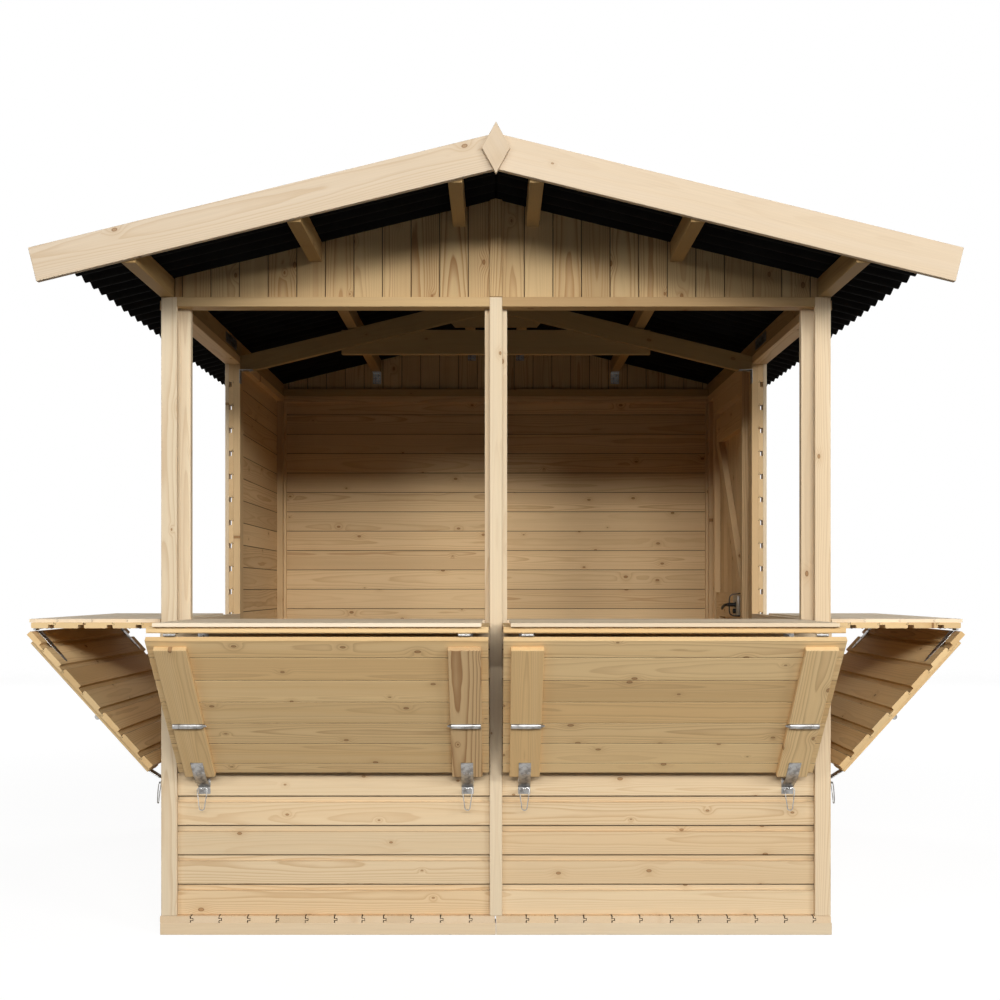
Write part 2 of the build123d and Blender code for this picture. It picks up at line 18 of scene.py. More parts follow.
import bmesh
import bpy
import numpy as np
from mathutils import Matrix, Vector

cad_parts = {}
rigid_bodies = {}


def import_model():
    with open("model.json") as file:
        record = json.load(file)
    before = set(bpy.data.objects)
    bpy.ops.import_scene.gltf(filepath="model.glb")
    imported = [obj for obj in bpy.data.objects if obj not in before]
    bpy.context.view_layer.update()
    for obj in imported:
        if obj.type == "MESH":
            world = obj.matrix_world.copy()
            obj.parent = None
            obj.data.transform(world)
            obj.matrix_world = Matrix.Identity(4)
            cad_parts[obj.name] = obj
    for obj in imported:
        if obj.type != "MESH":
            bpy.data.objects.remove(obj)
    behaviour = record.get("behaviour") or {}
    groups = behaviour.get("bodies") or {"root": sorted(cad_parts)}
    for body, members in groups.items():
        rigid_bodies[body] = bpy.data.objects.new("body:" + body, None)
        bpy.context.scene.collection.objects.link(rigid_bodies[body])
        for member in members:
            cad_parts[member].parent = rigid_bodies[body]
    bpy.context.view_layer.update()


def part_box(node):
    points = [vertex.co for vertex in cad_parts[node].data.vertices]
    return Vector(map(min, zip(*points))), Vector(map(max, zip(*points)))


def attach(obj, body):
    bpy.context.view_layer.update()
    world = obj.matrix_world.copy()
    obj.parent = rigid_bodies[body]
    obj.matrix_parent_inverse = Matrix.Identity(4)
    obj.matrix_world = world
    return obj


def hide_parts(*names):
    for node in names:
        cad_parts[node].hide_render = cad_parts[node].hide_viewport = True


LOG = logging.getLogger("stall")
Point2 = tuple[float, float]
Outline = list[Point2]
Face = tuple[int, ...]
HAIR = 1e-5
MM = 0.001


class Axis(Enum):
    """The row's axes, as unit directions."""

    X = (1.0, 0.0, 0.0)
    Y = (0.0, 1.0, 0.0)
    Z = (0.0, 0.0, 1.0)

    @property
    def vector(self) -> Vector:
        """The direction as a vector."""
        return Vector(self.value)


class Slot(Enum):
    """The record's material slots."""

    BOARDS = "board_pine"
    FRAMING = "frame_pine"
    HATCH = "hatch_pine"
    FLOOR = "floor_pine"
    ROOFING = "bitumen_sheet"
    ZINC = "zinc_steel"
    DARK = "dark_steel"


class Body(Enum):
    """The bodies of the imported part."""

    STALL = "stall"
    DOOR = "door"


# -------- mesh building


@dataclass
class GrainFrame:
    """Where a board's grain runs: an origin and the directions along, across and through it."""

    origin: Vector
    along: Vector
    across: Vector
    through: Vector

    @classmethod
    def of(cls, origin: Vector, along: Vector, across: Vector) -> GrainFrame:
        """Make a frame from two directions that need not be quite square.

        Args:
            origin: a point on the board.
            along: the direction of the fibres.
            across: a direction roughly across the board's face.

        Returns:
            The frame with unit directions at right angles.
        """
        a = along.normalized()
        c = (across - across.dot(a) * a).normalized()
        return cls(origin, a, c, a.cross(c))

    def point(self, along: float, across: float, through: float) -> Vector:
        """The place at these distances in the frame."""
        offset = self.along * along + self.across * across + self.through * through
        return self.origin + offset

    def local(self, points: np.ndarray) -> np.ndarray:
        """Turn places in the row into distances in the frame."""
        axes = np.array([self.along, self.across, self.through]).T
        return (points - np.array(self.origin)) @ axes


@dataclass
class Solid:
    """One closed solid of a CAD node, welded."""

    points: np.ndarray
    faces: list[Face]

    @property
    def low(self) -> Vector:
        """The lowest corner of its box."""
        return Vector(self.points.min(0))

    @property
    def high(self) -> Vector:
        """The highest corner of its box."""
        return Vector(self.points.max(0))

    @property
    def middle(self) -> Vector:
        """The centre of its box."""
        return (self.low + self.high) / 2

    def grain(self) -> GrainFrame:
        """Find the fibre direction from the longest straight edges.

        Returns:
            A frame along the longest edge and across the longest edge square to it.
        """
        edges: dict[tuple[int, int], Vector] = {}
        for face in self.faces:
            for i, j in zip(face, face[1:] + face[:1]):
                edges[(min(i, j), max(i, j))] = Vector(self.points[j] - self.points[i])
        spans = sorted(edges.values(), key=lambda e: -e.length)
        along = spans[0].normalized()
        if max(along, key=abs) < 0:
            along = -along
        square = [e for e in spans if abs(e.normalized().dot(along)) < 0.3]
        return GrainFrame.of(Vector(self.points.mean(0)), along, square[0])


def node_solids(node: str) -> list[Solid]:
    """Split a CAD node into its separate closed solids, from low X to high X.

    Args:
        node: the node's name.

    Returns:
        Its solids, with the points shared by neighbouring faces welded.
    """
    mesh = bpy.data.objects[node].data
    bm = bmesh.new()
    bm.from_mesh(mesh)
    bmesh.ops.remove_doubles(bm, verts=bm.verts, dist=2e-5)
    bmesh.ops.dissolve_limit(
        bm, angle_limit=math.radians(0.5), verts=bm.verts, edges=bm.edges
    )
    bm.verts.ensure_lookup_table()
    seen: set[int] = set()
    solids: list[Solid] = []
    for start in bm.verts:
        if start.index in seen or not start.link_faces:
            continue
        stack, group = [start], []
        seen.add(start.index)
        while stack:
            v = stack.pop()
            group.append(v)
            for e in v.link_edges:
                w = e.other_vert(v)
                if w.index not in seen:
                    seen.add(w.index)
                    stack.append(w)
        number = {v.index: i for i, v in enumerate(group)}
        points = np.array([v.co for v in group], float)
        linked = {f.index: f for v in group for f in v.link_faces}
        faces = [tuple(number[v.index] for v in f.verts) for f in linked.values()]
        solids.append(Solid(points, faces))
    bm.free()
    return sorted(solids, key=lambda s: tuple(round(c, 3) for c in s.middle))


def open_mesh(solid: Solid) -> bmesh.types.BMesh:
    """Open a solid so that its mesh can be edited.

    Args:
        solid: the solid.

    Returns:
        The editable mesh.
    """
    bm = bmesh.new()
    verts = [bm.verts.new(p) for p in solid.points]
    for face in solid.faces:
        bm.faces.new([verts[i] for i in face])
    return bm


def close_mesh(bm: bmesh.types.BMesh) -> Solid:
    """Turn an edited mesh back into a solid, and free it.

    Args:
        bm: the edited mesh.

    Returns:
        The solid.
    """
    bm.verts.index_update()
    points = np.array([v.co for v in bm.verts], float)
    faces = [tuple(v.index for v in f.verts) for f in bm.faces]
    bm.free()
    return Solid(points, faces)


def turned_out(points: Sequence[Vector], faces: list[Face]) -> Solid:
    """Make a closed solid whose faces all face outward.

    Args:
        points: its points.
        faces: its faces, in either direction.

    Returns:
        The solid.
    """
    bm = open_mesh(Solid(np.array(points, float), faces))
    bmesh.ops.recalc_face_normals(bm, faces=bm.faces)
    return close_mesh(bm)


def prism_faces(n: int) -> list[Face]:
    """The faces of a bar between two rings of n points each."""
    sides = [(i, i + n, (i + 1) % n + n, (i + 1) % n) for i in range(n)]
    return [tuple(range(n)), tuple(range(2 * n - 1, n - 1, -1)), *sides]


def ring_faces(rings: int, sides: int, closed: bool = False) -> list[Face]:
    """Make the skin of a round bar from its rings of points.

    Args:
        rings: how many rings it has.
        sides: how many points each ring has.
        closed: whether the last ring joins the first, or both ends are capped.

    Returns:
        The faces.
    """
    faces: list[Face] = []
    for i in range(rings if closed else rings - 1):
        j = (i + 1) % rings
        for k in range(sides):
            m = (k + 1) % sides
            faces.append((i * sides + k, i * sides + m, j * sides + m, j * sides + k))
    if not closed:
        faces.append(tuple(range(sides - 1, -1, -1)))
        faces.append(tuple((rings - 1) * sides + k for k in range(sides)))
    return faces


BOX_FACES: list[Face] = [
    (0, 2, 3, 1), (4, 5, 7, 6), (0, 1, 5, 4), (2, 6, 7, 3), (0, 4, 6, 2), (1, 3, 7, 5),
]  # fmt: skip


def box_between(x: Point2, y: Point2, z: Point2) -> Solid:
    """Make a plain box between limits given in any order.

    Args:
        x: its two limits along X.
        y: its two limits along Y.
        z: its two limits along Z.

    Returns:
        The box.
    """
    corners = [(a, b, c) for c in sorted(z) for b in sorted(y) for a in sorted(x)]
    return Solid(np.array(corners, float), BOX_FACES)


End = float | Callable[[float], float]


class Draft:
    """Collects solids with their grain, and turns them into one piece of the scene."""

    pith_across: float = 0.035
    pith_depth: Point2 = (0.03, 0.13)
    sharp_angle: float = math.radians(25)
    smooth_angle: float = math.radians(35)

    def __init__(self, seed: int = 1) -> None:
        """Start an empty draft.

        Args:
            seed: the seed of the chance differences between its boards.
        """
        self.chance = random.Random(seed)
        self.points: list[np.ndarray] = []
        self.faces: list[Face] = []
        self.grain: list[np.ndarray] = []
        self.board: list[np.ndarray] = []
        self.slots: list[int] = []
        self.shades: list[float] = []
        self.count = 0

    def add(
        self,
        solid: Solid,
        frame: GrainFrame,
        slot: int = 0,
        shades: Sequence[float] | None = None,
    ) -> None:
        """Add a solid as it is.

        Args:
            solid: the solid, in the row's frame.
            frame: the direction of its fibres.
            slot: which of the piece's materials it takes.
            shades: the painted shade at each corner of each face, or None where there is none.
        """
        self.shades += shades or [0.0] * sum(map(len, solid.faces))
        local = frame.local(solid.points)
        middle = (local.min(0) + local.max(0)) / 2
        local = local - middle
        seed = self.chance.random()
        aside = self.chance.uniform(-self.pith_across, self.pith_across)
        deep = self.chance.choice((-1, 1)) * self.chance.uniform(*self.pith_depth)
        self.points.append(solid.points)
        self.grain.append(local)
        self.board.append(np.tile((seed, aside, deep), (len(local), 1)))
        self.faces += [tuple(i + self.count for i in f) for f in solid.faces]
        self.slots += [slot] * len(solid.faces)
        self.count += len(local)

    def timber(
        self, solid: Solid, ease: float = 0.0015, frame: GrainFrame | None = None, slot: int = 0
    ) -> None:
        """Add a solid with its arrises eased, as planed timber has.

        Args:
            solid: the sharp solid.
            ease: how far each edge is taken off.
            frame: its grain, or None to find it from the edges.
            slot: which of the piece's materials it takes.
        """
        grain = frame or solid.grain()
        bm = open_mesh(solid)
        bmesh.ops.recalc_face_normals(bm, faces=bm.faces)
        sharp = [
            e for e in bm.edges if e.is_manifold and e.calc_face_angle(0) > self.sharp_angle
        ]
        bmesh.ops.bevel(
            bm, geom=sharp, offset=ease, segments=2, profile=0.5, affect="EDGES", clamp_overlap=True
        )
        self.add(close_mesh(bm), grain, slot)

    def prism(
        self,
        outline: Outline,
        frame: GrainFrame,
        start: End,
        end: End,
        slot: int = 0,
        shade: Sequence[float] | None = None,
    ) -> None:
        """Add a bar with this cross-section along a frame.

        Args:
            outline: the section as (across, through) pairs, in order.
            frame: the frame whose along direction the bar follows.
            start: where it begins, one distance or a rule from the across distance.
            end: where it ends, in the same way.
            slot: which of the piece's materials it takes.
            shade: the painted shade of its sides at each point of the section.
        """
        n = len(outline)
        ends = [e if callable(e) else (lambda u, e=e: e) for e in (start, end)]
        points = [frame.point(e(u), u, w) for e in ends for u, w in outline]
        faces = prism_faces(n)
        area = sum(
            outline[i][0] * outline[(i + 1) % n][1] - outline[(i + 1) % n][0] * outline[i][1]
            for i in range(n)
        )
        if area > 0:
            faces = [tuple(reversed(f)) for f in faces]
        shades: list[float] | None = None
        if shade:
            shades = [0.0] * (2 * n) + [shade[i % n] for f in faces[2:] for i in f]
        self.add(Solid(np.array(points, float), faces), frame, slot, shades)

    def tube(self, path: Sequence[Vector], radius: float, sides: int = 8, slot: int = 0) -> None:
        """Add a round bar along a path.

        Args:
            path: the points of its middle line.
            radius: its radius.
            sides: how many flats stand for the round.
            slot: which of the piece's materials it takes.
        """
        closed = (path[0] - path[-1]).length < 1e-6
        line = list(path[:-1]) if closed else list(path)
        n = len(line)
        points: list[Vector] = []
        normal = Vector((0.31, 0.52, 0.79))
        for i, p in enumerate(line):
            before = line[i - 1] if (closed or i) else p
            after = line[(i + 1) % n] if (closed or i < n - 1) else p
            tangent = (after - before).normalized()
            normal = (normal - normal.dot(tangent) * tangent).normalized()
            side = tangent.cross(normal)
            for k in range(sides):
                a = 2 * math.pi * k / sides
                points.append(p + (normal * math.cos(a) + side * math.sin(a)) * radius)
        frame = GrainFrame.of(line[0], line[1] - line[0], normal)
        bar = Solid(np.array(points, float), ring_faces(n, sides, closed))
        self.add(bar, frame, slot)

    def turned(
        self,
        base: Vector,
        axis: Vector,
        section: Sequence[Point2],
        sides: int = 20,
        slot: int = 0,
    ) -> None:
        """Add a turned solid, such as a pin or a screw head.

        Args:
            base: the point on the axis where the section's distances begin.
            axis: the direction of the axis.
            section: (distance along the axis, radius) pairs, from end to end.
            sides: how many flats stand for the round.
            slot: which of the piece's materials it takes.
        """
        a = axis.normalized()
        u = a.orthogonal().normalized()
        v = a.cross(u)
        points = [
            base + a * t + (u * math.cos(q) + v * math.sin(q)) * r
            for t, r in section
            for q in (2 * math.pi * k / sides for k in range(sides))
        ]
        shape = Solid(np.array(points, float), ring_faces(len(section), sides))
        self.add(shape, GrainFrame.of(base, a, u), slot)

    def build(
        self,
        name: str,
        looks: Look | Sequence[Look],
        slot: Slot,
        replaces: Sequence[str] = (),
        body: Body = Body.STALL,
        smooth: bool = False,
    ) -> bpy.types.Object:
        """Turn the draft into a piece of the scene.

        Args:
            name: the piece's name.
            looks: its finish, or its finishes in the order of their slots.
            slot: the record's material slot of the piece; not used.
            replaces: the CAD nodes that it stands for.
            body: the body that it moves with.
            smooth: whether gentle angles are shaded round.

        Returns:
            The new object.
        """
        mesh = bpy.data.meshes.new(name)
        points = np.concatenate(self.points)
        mesh.from_pydata(points.tolist(), [], self.faces)
        for key, rows in (("grain", self.grain), ("board", self.board)):
            attribute = mesh.attributes.new(key, "FLOAT_VECTOR", "POINT")
            attribute.data.foreach_set("vector", np.concatenate(rows).astype("f").ravel())
        # The joint attribute carries the painted shade in the board joints, per face corner.
        shade = mesh.attributes.new("joint", "FLOAT", "CORNER")
        shade.data.foreach_set("value", self.shades)
        mesh.polygons.foreach_set("material_index", self.slots)
        mesh.validate()
        mesh.update()
        for look in [looks] if isinstance(looks, Look) else looks:
            mesh.materials.append(look.material())
        if smooth:
            mesh.shade_smooth()
            mesh.set_sharp_from_angle(angle=self.smooth_angle)
        piece = bpy.data.objects.new(name, mesh)
        bpy.context.scene.collection.objects.link(piece)
        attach(piece, body.value)
        if replaces:
            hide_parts(*replaces)
        LOG.info("%s: %d faces for %s", name, len(mesh.polygons), ", ".join(replaces) or "detail")
        return piece


# -------- boards


@dataclass(frozen=True)
class BoardSection:
    """The section of a tongue-and-groove board, whose tongue side may carry a wide rebate."""

    thickness: float = 0.019
    joint: float = 0.0024
    arris: float = 0.0010
    lip: float = 0.0012
    tongue_reach: float = 0.005
    tongue_low: float = 0.006
    tongue_high: float = 0.0115
    slack: float = 0.0008
    rebate_reach: float = 0.0
    rebate_flat: float = 0.0
    rebate_depth: float = 0.0
    # rebate_step: how far from the joint the painted shadow on the rebate floor fades out
    rebate_step: float = 0.0024
    least_land: float = 0.004
    # painted shade at the chamfered edges beside a joint
    painted_edge_shade: float = 0.55

    def outline(self, width: float, groove: bool = True, tongue: bool = True) -> Outline:
        """The section of one board, its groove side at 0 and its tongue side at the width.

        Args:
            width: the cover width.
            groove: whether the side at 0 has its groove, or is sawn off.
            tongue: whether the side at the width has its tongue and rebate, or is sawn off.

        Returns:
            The outline as (across, through) pairs; through is 0 on the plain face.
        """
        t, g, c = self.thickness, self.joint, self.arris
        far = width - g
        points: Outline = [(c, 0.0), (far - c, 0.0), (far, c)]
        if tongue:
            points += [
                (far, self.tongue_low),
                (width + self.tongue_reach, self.tongue_low),
                (width + self.tongue_reach, self.tongue_high),
                (far, self.tongue_high),
            ]
        if tongue and self.rebate_depth and width > self.rebate_reach + self.least_land:
            points += [
                (far, t - self.rebate_depth),
                (far - self.rebate_step, t - self.rebate_depth),
                (width - self.rebate_flat, t - self.rebate_depth),
                (width - self.rebate_reach, t),
            ]
        else:
            points += [(far, t - c), (far - c, t)]
        points += [(self.lip, t), (0.0, t - self.lip)]
        if groove:
            deep = self.tongue_reach + self.slack
            points += [
                (0.0, self.tongue_high + self.slack),
                (deep, self.tongue_high + self.slack),
                (deep, self.tongue_low - self.slack),
                (0.0, self.tongue_low - self.slack),
            ]
        points.append((0.0, c))
        return points

    def shades(self, outline: Outline, width: float, groove: bool, tongue: bool) -> list[float]:
        """The painted shade that falls in the joints, at each point of a board's section.

        Args:
            outline: the section.
            width: the cover width.
            groove: whether another board lies against the side at 0.
            tongue: whether another board lies against the side at the width.

        Returns:
            A painted shade from 0 to 1 for each point.
        """
        far = width - self.joint if tongue else math.inf
        near = 0.0 if groove else -math.inf
        deep = self.tongue_reach + self.slack if groove else -math.inf
        found: list[float] = []
        for across, through in outline:
            inside = self.arris + HAIR < through < self.thickness - self.lip - HAIR
            side = across > far - HAIR or across < deep + HAIR
            edge = across > far - HAIR or across < near + HAIR
            found.append(1.0 if inside and side else self.painted_edge_shade if edge else 0.0)
        return found


PLAIN_BOARD = BoardSection()
SHIPLAP_BOARD = BoardSection(
    lip=0.003,
    tongue_low=0.0035,
    tongue_high=0.0068,
    rebate_reach=0.0215,
    rebate_flat=0.0200,
    rebate_depth=0.0115,
)
FLOOR_BOARD = BoardSection(
    thickness=0.023,
    joint=0.0034,
    arris=0.0016,
    tongue_reach=0.006,
    tongue_low=0.009,
    tongue_high=0.014,
    slack=0.0022,
)
TOP_BOARD = BoardSection(thickness=0.012, tongue_low=0.004, tongue_high=0.008, joint=0.0002)


@dataclass(frozen=True)
class BoardRun:
    """A surface covered in boards: where its joints lie and between what limits."""

    section: BoardSection
    joints: tuple[float, ...]
    low: float
    high: float

    def boards(self) -> list[tuple[float, float, bool, bool]]:
        """List the boards between the limits.

        Returns:
            Each board's near side, its width, and whether it keeps its groove and its tongue.
        """
        marks = [self.low] + [j for j in self.joints if self.low < j < self.high] + [self.high]
        last = len(marks) - 2
        return [(a, b - a, i > 0, i < last) for i, (a, b) in enumerate(zip(marks, marks[1:]))]

    def lay(self, draft: Draft, frame: GrainFrame, start: End, end: End, slot: int = 0) -> None:
        """Lay the boards into a draft.

        Args:
            draft: the draft that takes them.
            frame: along the fibres, with across running over the joints.
            start: where the boards begin, as a distance or a rule from the across distance.
            end: where they end.
            slot: which of the piece's materials they take.
        """
        for near, width, groove, tongue in self.boards():
            if width < self.section.least_land:
                continue
            own = GrainFrame(frame.point(0, near, 0), frame.along, frame.across, frame.through)
            ends = [
                (lambda u, e=e, n=near: e(u + n)) if callable(e) else e for e in (start, end)
            ]
            section = self.section.outline(width, groove, tongue)
            shade = self.section.shades(section, width, groove, tongue)
            draft.prism(section, own, ends[0], ends[1], slot, shade)


def joint_grid(first: float, pitch: float, low: float, high: float) -> tuple[float, ...]:
    """The joints of boards of one width that pass through a known joint.

    Args:
        first: one joint's place.
        pitch: the cover width.
        low: the lowest place that counts.
        high: the highest place that counts.

    Returns:
        Every joint between the two limits.
    """
    k = math.ceil((low - first) / pitch)
    found: list[float] = []
    while first + k * pitch < high:
        found.append(first + k * pitch)
        k += 1
    return tuple(found)


# -------- finishes

Socket = bpy.types.NodeSocket
Colour = tuple[float, float, float]


class Nodes:
    """Adds and links the nodes of one material."""

    def __init__(self, name: str) -> None:
        """Make an empty material with an output and a main shader.

        Args:
            name: the material's name.
        """
        self.material = bpy.data.materials.new(name)
        self.material.use_nodes = True
        self.tree = self.material.node_tree
        self.tree.nodes.clear()
        self.shader = self.tree.nodes.new("ShaderNodeBsdfPrincipled")
        self.output = self.tree.nodes.new("ShaderNodeOutputMaterial")
        self.tree.links.new(self.shader.outputs[0], self.output.inputs["Surface"])

    def link(self, source: Socket | float | Sequence[float], target: Socket) -> None:
        """Feed a socket from another socket, or set its own value.

        Args:
            source: the other socket, or the value.
            target: the socket that is fed.
        """
        if isinstance(source, bpy.types.NodeSocket):
            self.tree.links.new(source, target)
        else:
            target.default_value = source

    def fed(self, kind: str, *values: Socket | float) -> bpy.types.ShaderNode:
        """Add a node and feed its sockets.

        Args:
            kind: the node's type.
            values: what its sockets are fed with, from the first one on.

        Returns:
            The node.
        """
        node = self.tree.nodes.new(kind)
        for value, target in zip(values, node.inputs):
            self.link(value, target)
        return node

    def carried(self, name: str) -> bpy.types.ShaderNode:
        """Add a node that reads what the mesh carries.

        Args:
            name: the attribute's name.

        Returns:
            The node.
        """
        node = self.tree.nodes.new("ShaderNodeAttribute")
        node.attribute_name = name
        return node

    def attribute(self, name: str) -> list[Socket]:
        """Read a vector that the mesh carries, as three numbers."""
        return self.split(self.carried(name).outputs["Vector"])

    def value(self, name: str) -> Socket:
        """Read a number that the mesh carries."""
        return self.carried(name).outputs["Fac"]

    def split(self, vector: Socket) -> list[Socket]:
        """Split a vector into its three numbers."""
        return list(self.fed("ShaderNodeSeparateXYZ", vector).outputs)

    def join(self, x: Socket | float, y: Socket | float, z: Socket | float) -> Socket:
        """Make a vector from three numbers."""
        return self.fed("ShaderNodeCombineXYZ", x, y, z).outputs[0]

    def math(
        self, kind: str, a: Socket | float, b: Socket | float = 0.0, c: Socket | float = 0.0
    ) -> Socket:
        """A sum on up to three numbers.

        Args:
            kind: the name of Blender's operation, such as MULTIPLY.
            a: the first number.
            b: the second number.
            c: the third number.

        Returns:
            The result.
        """
        node = self.fed("ShaderNodeMath", a, b, c)
        node.operation = kind
        return node.outputs[0]

    def scaled(self, a: Socket, factor: float, plus: Socket | float = 0.0) -> Socket:
        """A number times a factor, plus another."""
        return self.math("MULTIPLY_ADD", a, factor, plus)

    def length(self, a: Socket, b: Socket) -> Socket:
        """The length of a right triangle's long side."""
        squares = self.math("MULTIPLY_ADD", b, b, self.math("MULTIPLY", a, a))
        return self.math("SQRT", squares)

    def step(
        self, value: Socket, low: float, high: float, to_low: float = 0.0, to_high: float = 1.0
    ) -> Socket:
        """A smooth step of a number.

        Args:
            value: the number.
            low: where the step begins.
            high: where it ends.
            to_low: the result before it.
            to_high: the result after it.

        Returns:
            The smoothed number.
        """
        node = self.fed("ShaderNodeMapRange", value, low, high, to_low, to_high)
        node.interpolation_type = "SMOOTHSTEP"
        return node.outputs[0]

    def ramp(self, value: Socket, stops: Sequence[Point2]) -> Socket:
        """A number read off a curve of straight runs.

        Args:
            value: the number to look up, from 0 to 1.
            stops: (place, result) pairs.

        Returns:
            The result.
        """
        node = self.fed("ShaderNodeValToRGB", value)
        elements = node.color_ramp.elements
        while len(elements) < len(stops):
            elements.new(0.5)
        for element, (place, grey) in zip(elements, stops):
            element.position = place
            element.color = (grey, grey, grey, 1.0)
        return node.outputs[0]

    def noise(self, vector: Socket, scale: float, detail: float = 2.0) -> Socket:
        """Soft noise from 0 to 1.

        Args:
            vector: the place.
            scale: how fine it is.
            detail: how many finer layers it has.

        Returns:
            The noise.
        """
        node = self.fed("ShaderNodeTexNoise", vector)
        node.inputs["Scale"].default_value = scale
        node.inputs["Detail"].default_value = detail
        return node.outputs[0]

    def mix(self, share: Socket | float, a: Socket | Colour, b: Socket | Colour) -> Socket:
        """A blend of two colours.

        Args:
            share: how much of the second shows, from 0 to 1.
            a: the first colour.
            b: the second colour.

        Returns:
            The blend.
        """
        node = self.tree.nodes.new("ShaderNodeMix")
        node.data_type = "RGBA"
        self.link(share, node.inputs[0])
        for value, target in zip((a, b), (node.inputs[6], node.inputs[7])):
            self.link((*value, 1.0) if isinstance(value, tuple) else value, target)
        return node.outputs[2]

    def brighten(self, colour: Socket, factor: Socket) -> Socket:
        """Multiply a colour by a number.

        Args:
            colour: the colour.
            factor: the number.

        Returns:
            The brighter or darker colour.
        """
        node = self.tree.nodes.new("ShaderNodeVectorMath")
        node.operation = "SCALE"
        self.link(colour, node.inputs[0])
        self.link(factor, node.inputs["Scale"])
        return node.outputs[0]

    def relief(self, height: Socket, strength: float, distance: float) -> None:
        """Give the main shader a relief.

        Args:
            height: the height of the surface.
            strength: how strongly it shows.
            distance: how high it is, in metres.
        """
        node = self.tree.nodes.new("ShaderNodeBump")
        node.inputs["Strength"].default_value = strength
        node.inputs["Distance"].default_value = distance
        self.link(height, node.inputs["Height"])
        self.link(node.outputs[0], self.shader.inputs["Normal"])


